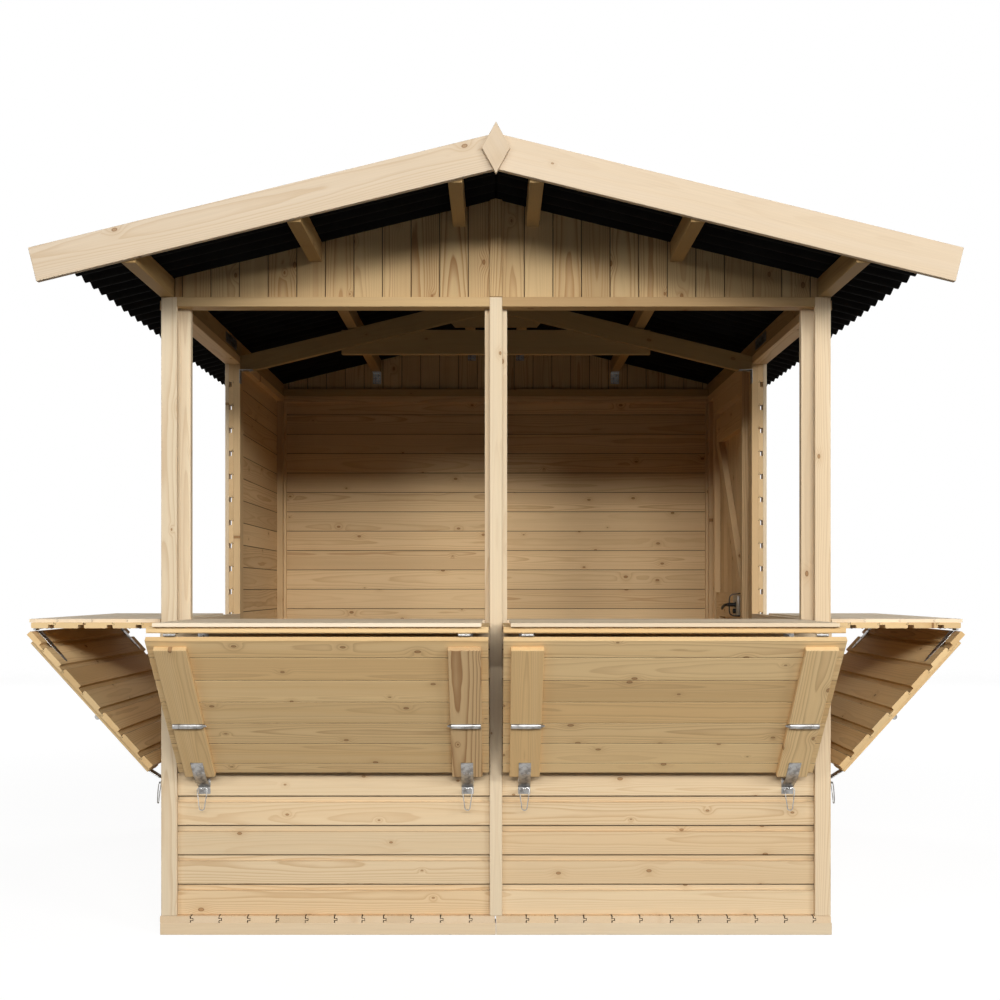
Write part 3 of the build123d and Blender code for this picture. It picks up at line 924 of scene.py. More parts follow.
@dataclass(frozen=True)
class PineFinish:
    """Planed pine with growth rings, fibres, knots and painted joint shade, each board in its own
    tone.
    """

    name: str
    sap: Colour = (0.71, 0.55, 0.35)
    warm: Colour = (0.69, 0.51, 0.305)
    late: Colour = (0.49, 0.30, 0.145)
    knot: Colour = (0.20, 0.085, 0.03)
    ring_gap: float = 0.0036
    ring_strength: float = 0.52
    knot_share: float = 0.62
    knot_radius: float = 0.0044
    spread: float = 0.14
    roughness: float = 0.56
    specular: float = 0.04
    knots_along: float = 3.1
    knots_across: float = 9.5
    knot_stretch: float = 0.60
    wander: float = 0.030
    ripple: float = 0.0022
    swirl: float = 0.0075
    halo: float = 0.30
    heart: float = 0.88
    # how strongly the painted shade in the board joints darkens the wood
    painted_joint_shade: float = 0.80
    relief: float = 0.0006

    def knots(self, n: Nodes, along: Socket, across: Socket, seed: Socket) -> tuple[Socket, Socket]:
        """Scatter knots over the boards.

        Args:
            n: the material's nodes.
            along: the distance along the fibres.
            across: the distance across the board.
            seed: the board's own number.

        Returns:
            How far the place is from the nearest knot in knot radii, and whether that knot
            is there at all.
        """
        u = n.scaled(along, self.knots_along, n.math("MULTIPLY", seed, 57.3))
        v = n.scaled(across, self.knots_across, n.math("MULTIPLY", seed, 213.7))
        cells = n.tree.nodes.new("ShaderNodeTexVoronoi")
        cells.voronoi_dimensions = "2D"
        cells.inputs["Scale"].default_value = 1.0
        n.link(n.join(u, v, 0.0), cells.inputs["Vector"])
        cell_u, cell_v, _ = n.split(cells.outputs["Position"])
        pick, size, _ = n.split(cells.outputs["Color"])
        stretch = self.knot_stretch / self.knots_along
        du = n.math("MULTIPLY", n.math("SUBTRACT", u, cell_u), stretch)
        dv = n.math("DIVIDE", n.math("SUBTRACT", v, cell_v), self.knots_across)
        radius = n.scaled(size, self.knot_radius * 1.1, self.knot_radius * 0.45)
        ratio = n.math("DIVIDE", n.length(du, dv), radius)
        present = n.math("LESS_THAN", pick, self.knot_share)
        return ratio, present

    def cloud(self, n: Nodes, scales: Point2, layers: Point2) -> Socket:
        """Make noise that is drawn out along the fibres and differs from board to board.

        Args:
            n: the material's nodes.
            scales: how fine it is along the fibres and across them.
            layers: its scale and how many finer layers it has.

        Returns:
            The noise.
        """
        x, y, z = n.attribute("grain")
        shift = n.math("MULTIPLY", n.attribute("board")[0], 91.0)
        along, across = scales
        place = n.join(n.scaled(x, along, shift), n.scaled(y, across), n.scaled(z, across))
        return n.noise(place, *layers)

    def rings(self, n: Nodes, swirl: Socket) -> Socket:
        """Cut the growth rings, which wander along the board and bend round its knots.

        Args:
            n: the material's nodes.
            swirl: how strongly a knot bends them.

        Returns:
            How much late wood shows, from 0 to 1.
        """
        _, y, z = n.attribute("grain")
        _, pith_y, pith_z = n.attribute("board")
        wander = n.math("SUBTRACT", self.cloud(n, (1.0, 5.0), (0.9, 1.0)), 0.5)
        ripple = n.math("SUBTRACT", self.cloud(n, (7.0, 40.0), (1.0, 1.0)), 0.5)
        radius = n.length(n.math("SUBTRACT", y, pith_y), n.math("SUBTRACT", z, pith_z))
        for part, size in ((wander, self.wander), (ripple, self.ripple), (swirl, self.swirl)):
            radius = n.scaled(part, size, radius)
        return n.ramp(
            n.math("FRACT", n.math("DIVIDE", radius, self.ring_gap)),
            ((0.0, 0.12), (0.08, 0.0), (0.55, 0.12), (0.86, 0.85), (0.95, 1.0), (1.0, 0.12)),
        )

    def material(self) -> bpy.types.Material:
        """Build the finish.

        Returns:
            The material, which reads a draft's grain, board and joint (painted shade) attributes.
        """
        n = Nodes(self.name)
        x, y, _ = n.attribute("grain")
        seed = n.attribute("board")[0]
        ratio, present = self.knots(n, x, y, seed)
        near = n.math("MULTIPLY", n.math("POWER", ratio, 2.0), -0.11)
        swirl = n.math("MULTIPLY", present, n.math("POWER", 2.718, near))
        ring = self.rings(n, swirl)
        fibre = self.cloud(n, (5.0, 420.0), (1.0, 2.0))
        streak = self.cloud(n, (0.8, 34.0), (1.0, 3.0))
        own, tone, light = (
            n.math("FRACT", n.math("MULTIPLY", seed, k)) for k in (17.31, 5.77, 29.9)
        )
        warmth = n.scaled(streak, 0.9, n.scaled(tone, 0.7, -0.35))
        base = n.mix(n.step(warmth, 0.2, 0.8), self.sap, self.warm)
        strength = n.scaled(own, self.ring_strength * 1.1, self.ring_strength * 0.25)
        base = n.mix(n.math("MULTIPLY", ring, strength), base, self.late)
        base = n.mix(n.math("MULTIPLY", swirl, self.halo), base, self.late)
        heart = n.math("MULTIPLY", present, n.step(ratio, 0.75, 1.15, 1.0, 0.0))
        rim = n.ramp(ratio, ((0.0, 0.55), (0.45, 0.25), (0.80, 0.9), (1.0, 1.0)))
        knot = n.mix(rim, self.late, self.knot)
        base = n.mix(n.math("MULTIPLY", heart, self.heart), base, knot)
        level = n.scaled(light, self.spread, 1.0 - self.spread / 2)
        level = n.scaled(fibre, 0.16, n.math("SUBTRACT", level, 0.08))
        # Darken the wood by the painted shade in the board joints.
        level = n.math("MULTIPLY", level, n.scaled(n.value("joint"), -self.painted_joint_shade, 1.0))
        n.link(n.brighten(base, level), n.shader.inputs["Base Color"])
        n.link(n.scaled(fibre, 0.12, self.roughness - 0.06), n.shader.inputs["Roughness"])
        n.shader.inputs["Specular IOR Level"].default_value = self.specular
        height = n.scaled(ring, -0.35, n.scaled(fibre, 0.9, n.scaled(heart, 0.5)))
        n.relief(height, 0.16, self.relief)
        return n.material


@dataclass(frozen=True)
class BitumenFinish:
    """Pressed bitumen sheet: nearly black, dull and slightly grained."""

    name: str
    colour: Colour = (0.0052, 0.0049, 0.0046)
    dusty: Colour = (0.010, 0.0096, 0.0094)
    roughness: float = 0.80
    specular: float = 0.03

    def material(self) -> bpy.types.Material:
        """Build the finish.

        Returns:
            The material.
        """
        n = Nodes(self.name)
        x, y, z = n.attribute("grain")
        place = n.join(x, y, z)
        cloud = n.noise(place, 7.0, 4.0)
        grit = n.noise(place, 900.0, 2.0)
        base = n.mix(n.step(cloud, 0.35, 0.75), self.colour, self.dusty)
        n.link(n.brighten(base, n.scaled(grit, 0.5, 0.75)), n.shader.inputs["Base Color"])
        n.link(n.scaled(grit, 0.2, self.roughness - 0.1), n.shader.inputs["Roughness"])
        n.shader.inputs["Specular IOR Level"].default_value = self.specular
        n.relief(n.scaled(grit, 1.0, n.scaled(cloud, 0.6)), 0.35, 0.0005)
        return n.material


@dataclass(frozen=True)
class MetalFinish:
    """Zinc-plated or blackened steel with faint rolling marks and stains."""

    name: str
    colour: Colour = (0.40, 0.395, 0.385)
    stain: Colour = (0.17, 0.16, 0.15)
    roughness: float = 0.34
    metallic: float = 1.0

    def material(self) -> bpy.types.Material:
        """Build the finish.

        Returns:
            The material.
        """
        n = Nodes(self.name)
        x, y, z = n.attribute("grain")
        marks = n.noise(n.join(n.scaled(x, 60.0), n.scaled(y, 900.0), n.scaled(z, 900.0)), 1.0, 2.0)
        cloud = n.noise(n.join(x, y, z), 55.0, 3.0)
        base = n.mix(n.step(cloud, 0.35, 0.75), self.colour, self.stain)
        n.link(n.brighten(base, n.scaled(marks, 0.2, 0.9)), n.shader.inputs["Base Color"])
        n.link(n.scaled(cloud, 0.24, self.roughness - 0.12), n.shader.inputs["Roughness"])
        n.shader.inputs["Metallic"].default_value = self.metallic
        n.relief(n.scaled(marks, 0.5, n.scaled(cloud, 0.8)), 0.12, 0.0004)
        return n.material


class Look(Enum):
    """The stall's finishes."""

    BOARDS = PineFinish("board_pine")
    FRAMING = PineFinish(
        "frame_pine",
        sap=(0.75, 0.615, 0.43),
        warm=(0.735, 0.575, 0.38),
        ring_strength=0.40,
        knot_share=0.28,
        spread=0.10,
    )
    # A more saturated, orange copy of the board pine: painted shade for the undersides of the
    # counters and props.
    HATCH = PineFinish(
        "hatch_pine",
        ring_strength=0.48,
        knot_share=0.55,
        sap=(0.80, 0.58, 0.305),
        warm=(0.75, 0.51, 0.245),
    )
    # A slightly darker, more saturated copy of the board pine: painted shade inside the stall, on
    # the rear walls, back posts, rails and door.
    INTERIOR_SHADE = PineFinish(
        "interior_shade_pine",
        sap=(0.73, 0.52, 0.285),
        warm=(0.665, 0.465, 0.25),
        late=(0.45, 0.25, 0.105),
    )
    # A darker, more saturated copy of the board pine: painted shade under the roof, on the gables,
    # the front head rails and the tops of the middle battens.
    SHADE_UNDER_ROOF = PineFinish(
        "shade_under_roof_pine",
        ring_strength=0.75,
        sap=(0.61, 0.43, 0.22),
        warm=(0.54, 0.365, 0.18),
        late=(0.38, 0.20, 0.08),
    )
    # A much darker copy of the pine: painted shade on the truss, purlins, collar tie and gable
    # plates under the roof.
    ROOF_TIMBER_SHADE = PineFinish(
        "roof_timber_shade_pine",
        sap=(0.41, 0.275, 0.125),
        warm=(0.40, 0.26, 0.11),
        late=(0.32, 0.18, 0.07),
    )
    # A toned-down copy of the framing pine: painted shade that holds down the bargeboards and
    # finials, which the front lamps light most.
    BARGE = PineFinish(
        "barge_pine",
        sap=(0.685, 0.565, 0.425),
        warm=(0.66, 0.525, 0.37),
        late=(0.52, 0.36, 0.21),
        ring_strength=0.42,
        knot_share=0.50,
    )
    CASE = MetalFinish(
        "lock_case", colour=(0.30, 0.24, 0.17), stain=(0.24, 0.19, 0.13), metallic=0.0
    )
    BATTEN = PineFinish(
        "batten_pine",
        sap=(0.70, 0.49, 0.26),
        warm=(0.62, 0.405, 0.19),
        late=(0.27, 0.11, 0.035),
        ring_gap=0.0048,
        ring_strength=1.0,
        knot_share=0.55,
        spread=0.22,
    )
    COUNTER = PineFinish(
        "counter_top_pine",
        ring_strength=0.20,
        knot_share=0.08,
        sap=(0.87, 0.73, 0.54),
        warm=(0.84, 0.67, 0.46),
    )
    FLOOR = PineFinish(
        "floor_pine", ring_strength=0.34, sap=(0.77, 0.60, 0.41), warm=(0.74, 0.56, 0.36)
    )
    BITUMEN = BitumenFinish("bitumen_sheet")
    ZINC = MetalFinish("zinc_steel")
    DARK = MetalFinish(
        "dark_steel", colour=(0.035, 0.034, 0.034), stain=(0.02, 0.019, 0.018), roughness=0.45
    )

    @cache
    def material(self) -> bpy.types.Material:
        """Make the material, the first time it is asked for."""
        return self.value.material()


# -------- sub-assemblies


@dataclass(frozen=True)
class TimberNode:
    """A CAD node whose solids are shown as planed timber with eased arrises."""

    node: str
    look: Look
    slot: Slot
    ease: float = 0.0015
    body: Body = Body.STALL
    # A second finish for the solids above high_from; the middle battens use it for painted shade
    # under the roof.
    high_look: Look | None = None
    high_from: float = 2.1

    def build(self, seed: int) -> None:
        """Build the timber.

        Args:
            seed: the seed of its grain.
        """
        draft = Draft(seed)
        for solid in node_solids(self.node):
            high = self.high_look is not None and solid.low.z > self.high_from
            draft.timber(solid, self.ease, slot=int(high))
        looks = [look for look in (self.look, self.high_look) if look]
        draft.build(f"{self.node}_timber", looks, self.slot, (self.node,), self.body)


@dataclass
class Base:
    """The bearers and the boarded floor."""

    half_width: float = 1.120
    split: float = 0.0005
    joints: tuple[float, ...] = (
        -1.0168, -0.9215, -0.8265, -0.7312, -0.6335, -0.5368, -0.4448, -0.3732, -0.2822,
        -0.1832, -0.0865, 0.1025, 0.1988, 0.2945, 0.3885, 0.4812, 0.5832, 0.6762, 0.7732,
        0.8658, 0.9642, 1.0592,
    )  # fmt: skip

    def bearers(self) -> None:
        """Build the bearers under the floor."""
        TimberNode("floor_bearers", Look.FRAMING, Slot.FLOOR, 0.002).build(11)

    def deck(self) -> None:
        """Lay the floor boards from front to back in two halves."""
        low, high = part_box("floor_deck")
        draft = Draft(12)
        frame = GrainFrame.of(Vector((0, 0, high[2])), Axis.Y.vector, Axis.X.vector)
        for near, far in ((-self.half_width, -self.split), (self.split, self.half_width)):
            BoardRun(FLOOR_BOARD, self.joints, near, far).lay(draft, frame, low[1], high[1])
        draft.build("floor_boards", Look.FLOOR, Slot.FLOOR, ("floor_deck",))

    def build(self) -> None:
        """Build the base."""
        self.bearers()
        self.deck()


@dataclass(frozen=True)
class WallPanel:
    """One boarded panel: its place along the wall and its height."""

    node: str
    near: float
    far: float
    bottom: float
    top: float


class Side(Enum):
    """The walls, each with the direction it runs in and the one it faces."""

    FRONT = ((1.0, 0.0, 0.0), (0.0, -1.0, 0.0))
    BACK = ((-1.0, 0.0, 0.0), (0.0, 1.0, 0.0))
    LEFT = ((0.0, -1.0, 0.0), (-1.0, 0.0, 0.0))
    RIGHT = ((0.0, 1.0, 0.0), (1.0, 0.0, 0.0))

    @property
    def along(self) -> Vector:
        """The direction that the wall runs in."""
        return Vector(self.value[0])

    @property
    def out(self) -> Vector:
        """The direction that the wall faces."""
        return Vector(self.value[1])


@dataclass
class Cladding:
    """The horizontal shiplap of the walls."""

    pitch: float = 0.0984
    joint: float = 0.0667
    back_joint: float = 0.0699
    rear_joint: float = 0.0898
    rear_pitch: float = 0.0965
    front_plane: float = 0.918
    side_plane: float = 1.099
    back_plane: float = 1.245
    split: float = 0.0005
    floor: float = 0.063
    sill: float = 1.019
    top: float = 2.127
    bay_front: float = 0.937
    bay_back: float = 0.122
    rear_end: float = 1.264
    doorway: Point2 = (0.292, 1.020)
    door_top: float = 2.013
    least: float = 0.012

    def panel(self, side: Side, plane: float, panels: Sequence[WallPanel], seed: int) -> None:
        """Build the boards of one node.

        Args:
            side: the wall that the node is in.
            plane: how far the wall's inner face is from the middle of the floor.
            panels: the node's panels.
            seed: the seed of their grain.
        """
        draft = Draft(seed)
        frame = GrainFrame(side.out * plane, side.along, Axis.Z.vector, side.out)
        first, pitch = self.joint, self.pitch
        if side is Side.BACK:
            first = self.back_joint
        elif panels[0].node in ("left_rear_wall", "right_rear_wall"):
            first, pitch = self.rear_joint, self.rear_pitch
        for p in panels:
            joints = joint_grid(first, pitch, p.bottom + self.least, p.top - self.least)
            run = BoardRun(SHIPLAP_BOARD, joints, p.bottom, p.top)
            run.lay(draft, frame, p.near, p.far)
        node = panels[0].node
        # The rear walls, inside the stall, take the darker interior copy of the pine: painted
        # shade.
        rear = node.startswith(("back_wall", "left_rear", "right_rear", "wall_over"))
        look = Look.INTERIOR_SHADE if rear else Look.BOARDS
        draft.build(f"{node}_boards", look, Slot.BOARDS, (node,))

    def halves(self, node: str, top: float) -> list[WallPanel]:
        """List the two panels of a wall that meet in its middle.

        Args:
            node: the CAD node.
            top: the height of the panels' top.

        Returns:
            The two panels.
        """
        ends = ((-self.side_plane, -self.split), (self.split, self.side_plane))
        return [WallPanel(node, near, far, self.floor, top) for near, far in ends]

    def build(self) -> None:
        """Build every boarded wall."""
        back, end, floor, top = self.bay_back, self.rear_end, self.floor, self.top
        near, far = self.doorway
        left = [WallPanel("left_rear_wall", -end, -back, floor, top)]
        right = [
            WallPanel("right_rear_wall", back, near, floor, top),
            WallPanel("right_rear_wall", far, end, floor, top),
        ]
        over = [WallPanel("wall_over_door", near, far, self.door_top, top)]
        self.panel(Side.FRONT, self.front_plane, self.halves("front_walls", self.sill), 21)
        self.panel(Side.BACK, self.back_plane, self.halves("back_wall", top), 22)
        self.low_walls("side_low_walls")
        self.panel(Side.LEFT, self.side_plane, left, 24)
        self.panel(Side.RIGHT, self.side_plane, right, 25)
        self.panel(Side.RIGHT, self.side_plane, over, 26)

    def low_walls(self, node: str) -> None:
        """Build the two low walls under the side counters as one piece.

        Args:
            node: the CAD node that they stand for.
        """
        draft = Draft(23)
        low, high = self.floor, self.sill
        joints = joint_grid(self.joint, self.pitch, low + self.least, high - self.least)
        front, back = self.bay_front, self.bay_back
        for side, near, far in ((Side.LEFT, -back, front), (Side.RIGHT, -front, back)):
            frame = GrainFrame(side.out * self.side_plane, side.along, Axis.Z.vector, side.out)
            BoardRun(SHIPLAP_BOARD, joints, low, high).lay(draft, frame, near, far)
        draft.build(f"{node}_boards", Look.BOARDS, Slot.BOARDS, (node,))


@dataclass
class Gables:
    """The upright boards under the two roof ends."""

    first_joint: float = 0.0938
    pitch: float = 0.0957
    half_width: float = 1.0762
    split: float = 0.0005
    bottom: float = 2.127
    apex: float = 2.4567
    slope: float = 0.2447
    front_plane: float = 0.918
    back_plane: float = 1.245
    least: float = 0.02

    def top(self, across: float) -> float:
        """The height of the roof's underside at a distance from the middle."""
        return self.apex - self.slope * abs(across)

    def build(self) -> None:
        """Build the four gable panels as one piece."""
        draft = Draft(31)
        right = joint_grid(self.first_joint, self.pitch, self.least, self.half_width - self.least)
        joints = tuple(-j for j in reversed(right)) + right
        for side, plane in ((Side.FRONT, self.front_plane), (Side.BACK, self.back_plane)):
            frame = GrainFrame(side.out * plane, Axis.Z.vector, -side.along, side.out)
            for near, far in ((-self.half_width, -self.split), (self.split, self.half_width)):
                run = BoardRun(PLAIN_BOARD, joints, near, far)
                run.lay(draft, frame, self.bottom, self.top)
        # The gables take the darker copy of the pine: painted shade under the roof.
        draft.build("gable_boards", Look.SHADE_UNDER_ROOF, Slot.BOARDS, ("gables",))


@dataclass
class Framing:
    """The posts, plates, rails, trims, shelf and door frame."""

    stud_thickness: float = 0.028
    ease: float = 0.0016
    box_points: int = 8
    plain_nodes: tuple[TimberNode, ...] = (
        TimberNode("corner_trims", Look.FRAMING, Slot.FRAMING, 0.0025),
        # The middle battens' tops take the darker copy: painted shade under the roof.
        TimberNode("middle_battens", Look.FRAMING, Slot.FRAMING, 0.0025, high_look=Look.SHADE_UNDER_ROOF),
        TimberNode("side_trims", Look.FRAMING, Slot.FRAMING, 0.0025),
        TimberNode("sill_trims", Look.FRAMING, Slot.FRAMING),
        TimberNode("sill_plates", Look.FRAMING, Slot.FRAMING),
        # The head rails, gable plates and door frame take darker copies of the pine: painted shade
        # under the roof and inside the stall.
        TimberNode("front_head_rails", Look.SHADE_UNDER_ROOF, Slot.FRAMING),
        TimberNode("side_head_rails", Look.INTERIOR_SHADE, Slot.FRAMING),
        TimberNode("back_head_rail", Look.INTERIOR_SHADE, Slot.FRAMING),
        TimberNode("gable_plates", Look.ROOF_TIMBER_SHADE, Slot.FRAMING),
        TimberNode("door_frame", Look.INTERIOR_SHADE, Slot.FRAMING),
        TimberNode("inner_shelf", Look.COUNTER, Slot.HATCH),
    )

    @staticmethod
    def angle(solid: Solid, thickness: float) -> list[Solid]:
        """Split an upright angle into the two boards that it is nailed up from.

        Args:
            solid: the angle, standing in a corner of the stall.
            thickness: the thickness of its boards.

        Returns:
            The board that faces the front or back, and the one that faces the side.
        """
        low, high, mid = solid.low, solid.high, solid.middle
        x_out, x_in = (high.x, low.x) if mid.x > 0 else (low.x, high.x)
        y_out, y_in = (high.y, low.y) if mid.y > 0 else (low.y, high.y)
        y_step = y_out + math.copysign(thickness, y_in - y_out)
        x_step = x_out + math.copysign(thickness, x_in - x_out)
        z = (low.z, high.z)
        return [
            box_between((x_out, x_in), (y_out, y_step), z),
            box_between((x_out, x_step), (y_step, y_in), z),
        ]

    def angles(self, node: str, thickness: float, seed: int, ease: float) -> None:
        """Build a node of uprights, its angles split into their two boards.

        Args:
            node: the CAD node.
            thickness: the thickness of an angle's boards.
            seed: the seed of their grain.
            ease: how far their edges are taken off.
        """
        draft = Draft(seed)
        for solid in node_solids(node):
            parts = self.angle(solid, thickness) if len(solid.points) > self.box_points else [solid]
            for part in parts:
                # Posts in the back half take the darker interior copy: painted shade inside the
                # stall.
                draft.timber(part, ease, slot=int(solid.middle.y > 0.0))
        looks = (Look.FRAMING, Look.INTERIOR_SHADE)
        draft.build(f"{node}_timber", looks, Slot.FRAMING, (node,))

    def build(self) -> None:
        """Build the framing."""
        self.angles("wall_posts", self.stud_thickness, 42, self.ease)
        for i, node in enumerate(self.plain_nodes):
            node.build(43 + i)


@dataclass
class Roof:
    """The purlins, truss, bargeboards and corrugated sheets."""

    apex: float = 2.4570
    slope: float = 0.2447
    half_length: float = 1.393
    sheet_reach: float = 1.356
    sheet_start: float = 0.002
    wave_pitch: float = 0.084
    wave_trough: float = -1.1954
    wave_height: float = 0.0318
    sheet_thickness: float = 0.003
    sheet_width: float = 0.924
    sheet_cover: float = 0.840
    lap_lift: float = 0.0031
    wave_steps: int = 12
    cap_reach: float = 0.150
    cap_height: float = 0.0436
    cap_thickness: float = 0.0041
    cap_length: float = 1.0
    fixing_lines: tuple[float, ...] = (0.6035, 1.098)
    cap_drop: float = 0.0003
    cap_lap: float = 0.08
    cap_lift: float = 0.0042
    least_sheet: float = 0.1
    least_cap: float = 0.05
    nail_margin: float = 0.02
    nail: tuple[Point2, ...] = (
        (-0.006, 0.013), (0.0, 0.0128), (0.0035, 0.0105), (0.0058, 0.006), (0.0064, 0.0008),
    )  # fmt: skip
    ease: float = 0.002
    toe_height: float = 2.068
    gusset_y: Point2 = (0.150, 0.168)
    gusset_outline: tuple[Point2, ...] = (
        (0.172, 2.256), (0.205, 2.293), (0.0, 2.3445), (-0.205, 2.293), (-0.172, 2.256),
    )  # fmt: skip

    def timbers(self) -> None:
        """Build the timber of the roof."""
        # The roof timbers take the darkest copy of the pine, and the bargeboards and finials a
        # toned-down one: both painted shade.
        nodes = (
            TimberNode("purlins", Look.ROOF_TIMBER_SHADE, Slot.FRAMING, self.ease),
            TimberNode("collar_tie", Look.ROOF_TIMBER_SHADE, Slot.FRAMING, self.ease),
            TimberNode("bargeboards", Look.BARGE, Slot.FRAMING, self.ease),
            TimberNode("finials", Look.BARGE, Slot.FRAMING),
        )
        for i, node in enumerate(nodes):
            node.build(61 + i)
        draft = Draft(66)
        for solid in node_solids("truss_rafters"):
            draft.timber(self.level_toe(solid), self.ease)
        draft.build("truss_rafters_timber", Look.ROOF_TIMBER_SHADE, Slot.FRAMING, ("truss_rafters",))
        self.gusset()

    def gusset(self) -> None:
        """Build the gusset behind the apex of the truss."""
        draft = Draft(67)
        frame = GrainFrame(Vector((0.0, 0.0, 0.0)), Axis.Y.vector, Axis.X.vector, Axis.Z.vector)
        draft.prism(list(self.gusset_outline), frame, *self.gusset_y)
        draft.build("truss_gusset", Look.ROOF_TIMBER_SHADE, Slot.FRAMING)

    def level_toe(self, solid: Solid) -> Solid:
        """Cut the foot of a rafter level, where its bracket sits.

        Args:
            solid: the rafter.

        Returns:
            The rafter with a flat under its foot.
        """
        bm = open_mesh(solid)
        bmesh.ops.bisect_plane(
            bm,
            geom=bm.verts[:] + bm.edges[:] + bm.faces[:],
            plane_co=(0, 0, self.toe_height),
            plane_no=(0, 0, -1),
            clear_outer=True,
        )
        bmesh.ops.holes_fill(bm, edges=[e for e in bm.edges if e.is_boundary])
        return close_mesh(bm)

    def frame(self, sign: int) -> GrainFrame:
        """Make the frame of one slope: down it, along the ridge and up from it.

        Args:
            sign: 1 for the right slope, -1 for the left one.

        Returns:
            The frame.
        """
        fall = math.atan(self.slope)
        down = Vector((sign * math.cos(fall), 0.0, -math.sin(fall)))
        up = Vector((sign * math.sin(fall), 0.0, math.cos(fall)))
        return GrainFrame(Vector((0.0, 0.0, self.apex)), down, Axis.Y.vector, up)

    def wave(self, y: float) -> tuple[float, float]:
        """Find the wave at a place along the ridge.

        Args:
            y: the place.

        Returns:
            The height of the sheet's middle and its slope there.
        """
        turn = 2 * math.pi * (y - self.wave_trough) / self.wave_pitch
        half = self.wave_height / 2
        rise = self.sheet_thickness / 2 + half * (1 - math.cos(turn))
        return rise, half * math.sin(turn) * 2 * math.pi / self.wave_pitch

    def sheet(self, draft: Draft, frame: GrainFrame, near: float, far: float, lift: float) -> None:
        """Add one corrugated sheet.

        Args:
            draft: the draft that takes it.
            frame: the slope's frame.
            near: where it begins along the ridge.
            far: where it ends.
            lift: how far it lies above the purlins.
        """
        count = max(2, round((far - near) / self.wave_pitch * self.wave_steps))
        points: list[Vector] = []
        runs = (self.sheet_start, self.sheet_reach / 2, self.sheet_reach)
        for i in range(count + 1):
            y = near + (far - near) * i / count
            height, tilt = self.wave(y)
            normal = Vector((-tilt, 1.0)).normalized() * (self.sheet_thickness / 2)
            points += [
                frame.point(t, y + s * normal.x, lift + height + s * normal.y)
                for s in (1, -1)
                for t in runs
            ]
        width = len(runs)
        step = 2 * width
        faces: list[Face] = []
        loop = list(range(width)) + list(range(2 * width - 1, width - 1, -1))
        for i in range(count):
            a, b = i * step, (i + 1) * step
            for j, k in zip(loop, loop[1:] + loop[:1]):
                faces.append((a + j, a + k, b + k, b + j))
        for row in (0, count):
            base = row * step
            for t in range(width - 1):
                quad = (base + t, base + t + 1, base + width + t + 1, base + width + t)
                faces.append(quad if row else tuple(reversed(quad)))
        draft.add(turned_out(points, faces), frame)

    def sheets(self) -> None:
        """Build the sheets of both slopes with their capped nails."""
        for sign, node, seed in ((-1, "left_roof_sheet", 67), (1, "right_roof_sheet", 68)):
            draft = Draft(seed)
            frame = self.frame(sign)
            near, index = -self.half_length, 0
            while near < self.half_length - self.least_sheet:
                far = min(near + self.sheet_width, self.half_length)
                self.sheet(draft, frame, near, far, self.lap_lift * (index % 2))
                near += self.sheet_cover
                index += 1
            self.fixings(draft, frame)
            name = f"{node}_corrugated"
            draft.build(name, Look.BITUMEN, Slot.ROOFING, (node,), smooth=True)

    def fixings(self, draft: Draft, frame: GrainFrame) -> None:
        """Add a capped nail on every third crest over each purlin.

        Args:
            draft: the draft that takes them.
            frame: the slope's frame.
        """
        top = self.wave_height + self.sheet_thickness + self.lap_lift
        cosine = math.cos(math.atan(self.slope))
        crest = self.wave_trough - 2 * self.wave_pitch - self.wave_pitch / 2
        while crest < self.half_length - self.nail_margin:
            if crest > -self.half_length + self.nail_margin:
                for line in self.fixing_lines:
                    base = frame.point(line / cosine, crest, top)
                    draft.turned(base, frame.through, self.nail, 12)
            crest += 3 * self.wave_pitch

    def ridge(self) -> None:
        """Build the folded ridge cap in lapped lengths."""
        draft = Draft(69)
        ridge = Vector((0.0, 0.0, self.apex - self.cap_drop))
        frame = GrainFrame(ridge, Axis.Y.vector, Axis.X.vector, -Axis.Z.vector)
        r, h, t = self.cap_reach, self.cap_height, self.cap_thickness
        fall = self.slope * r
        near, index = -self.half_length, 0
        while near < self.half_length - self.least_cap:
            far = min(near + self.cap_length + self.cap_lap, self.half_length)
            lift = 0.0 if index % 2 else -self.cap_lift
            outline = [
                (-r, -(h - fall - t) + lift), (0.0, -(h - t) + lift), (r, -(h - fall - t) + lift),
                (r, -(h - fall) + lift), (0.0, -h + lift), (-r, -(h - fall) + lift),
            ]  # fmt: skip
            draft.prism(outline, frame, near, far)
            near += self.cap_length
            index += 1
        draft.build("ridge_cap_folded", Look.BITUMEN, Slot.ROOFING, ("ridge_cap",))

    def build(self) -> None:
        """Build the roof."""
        self.timbers()
        self.sheets()
        self.ridge()


@dataclass
class HatchDrafts:
    """The drafts that the four hatches share, one for each CAD node."""

    drafts: dict[str, Draft] = field(default_factory=dict)

    def of(self, node: str) -> Draft:
        """Find the draft of a node, made the first time it is asked for.

        Args:
            node: the CAD node.

        Returns:
            Its draft.
        """
        if node not in self.drafts:
            self.drafts[node] = Draft(sum(map(ord, node)))
        return self.drafts[node]


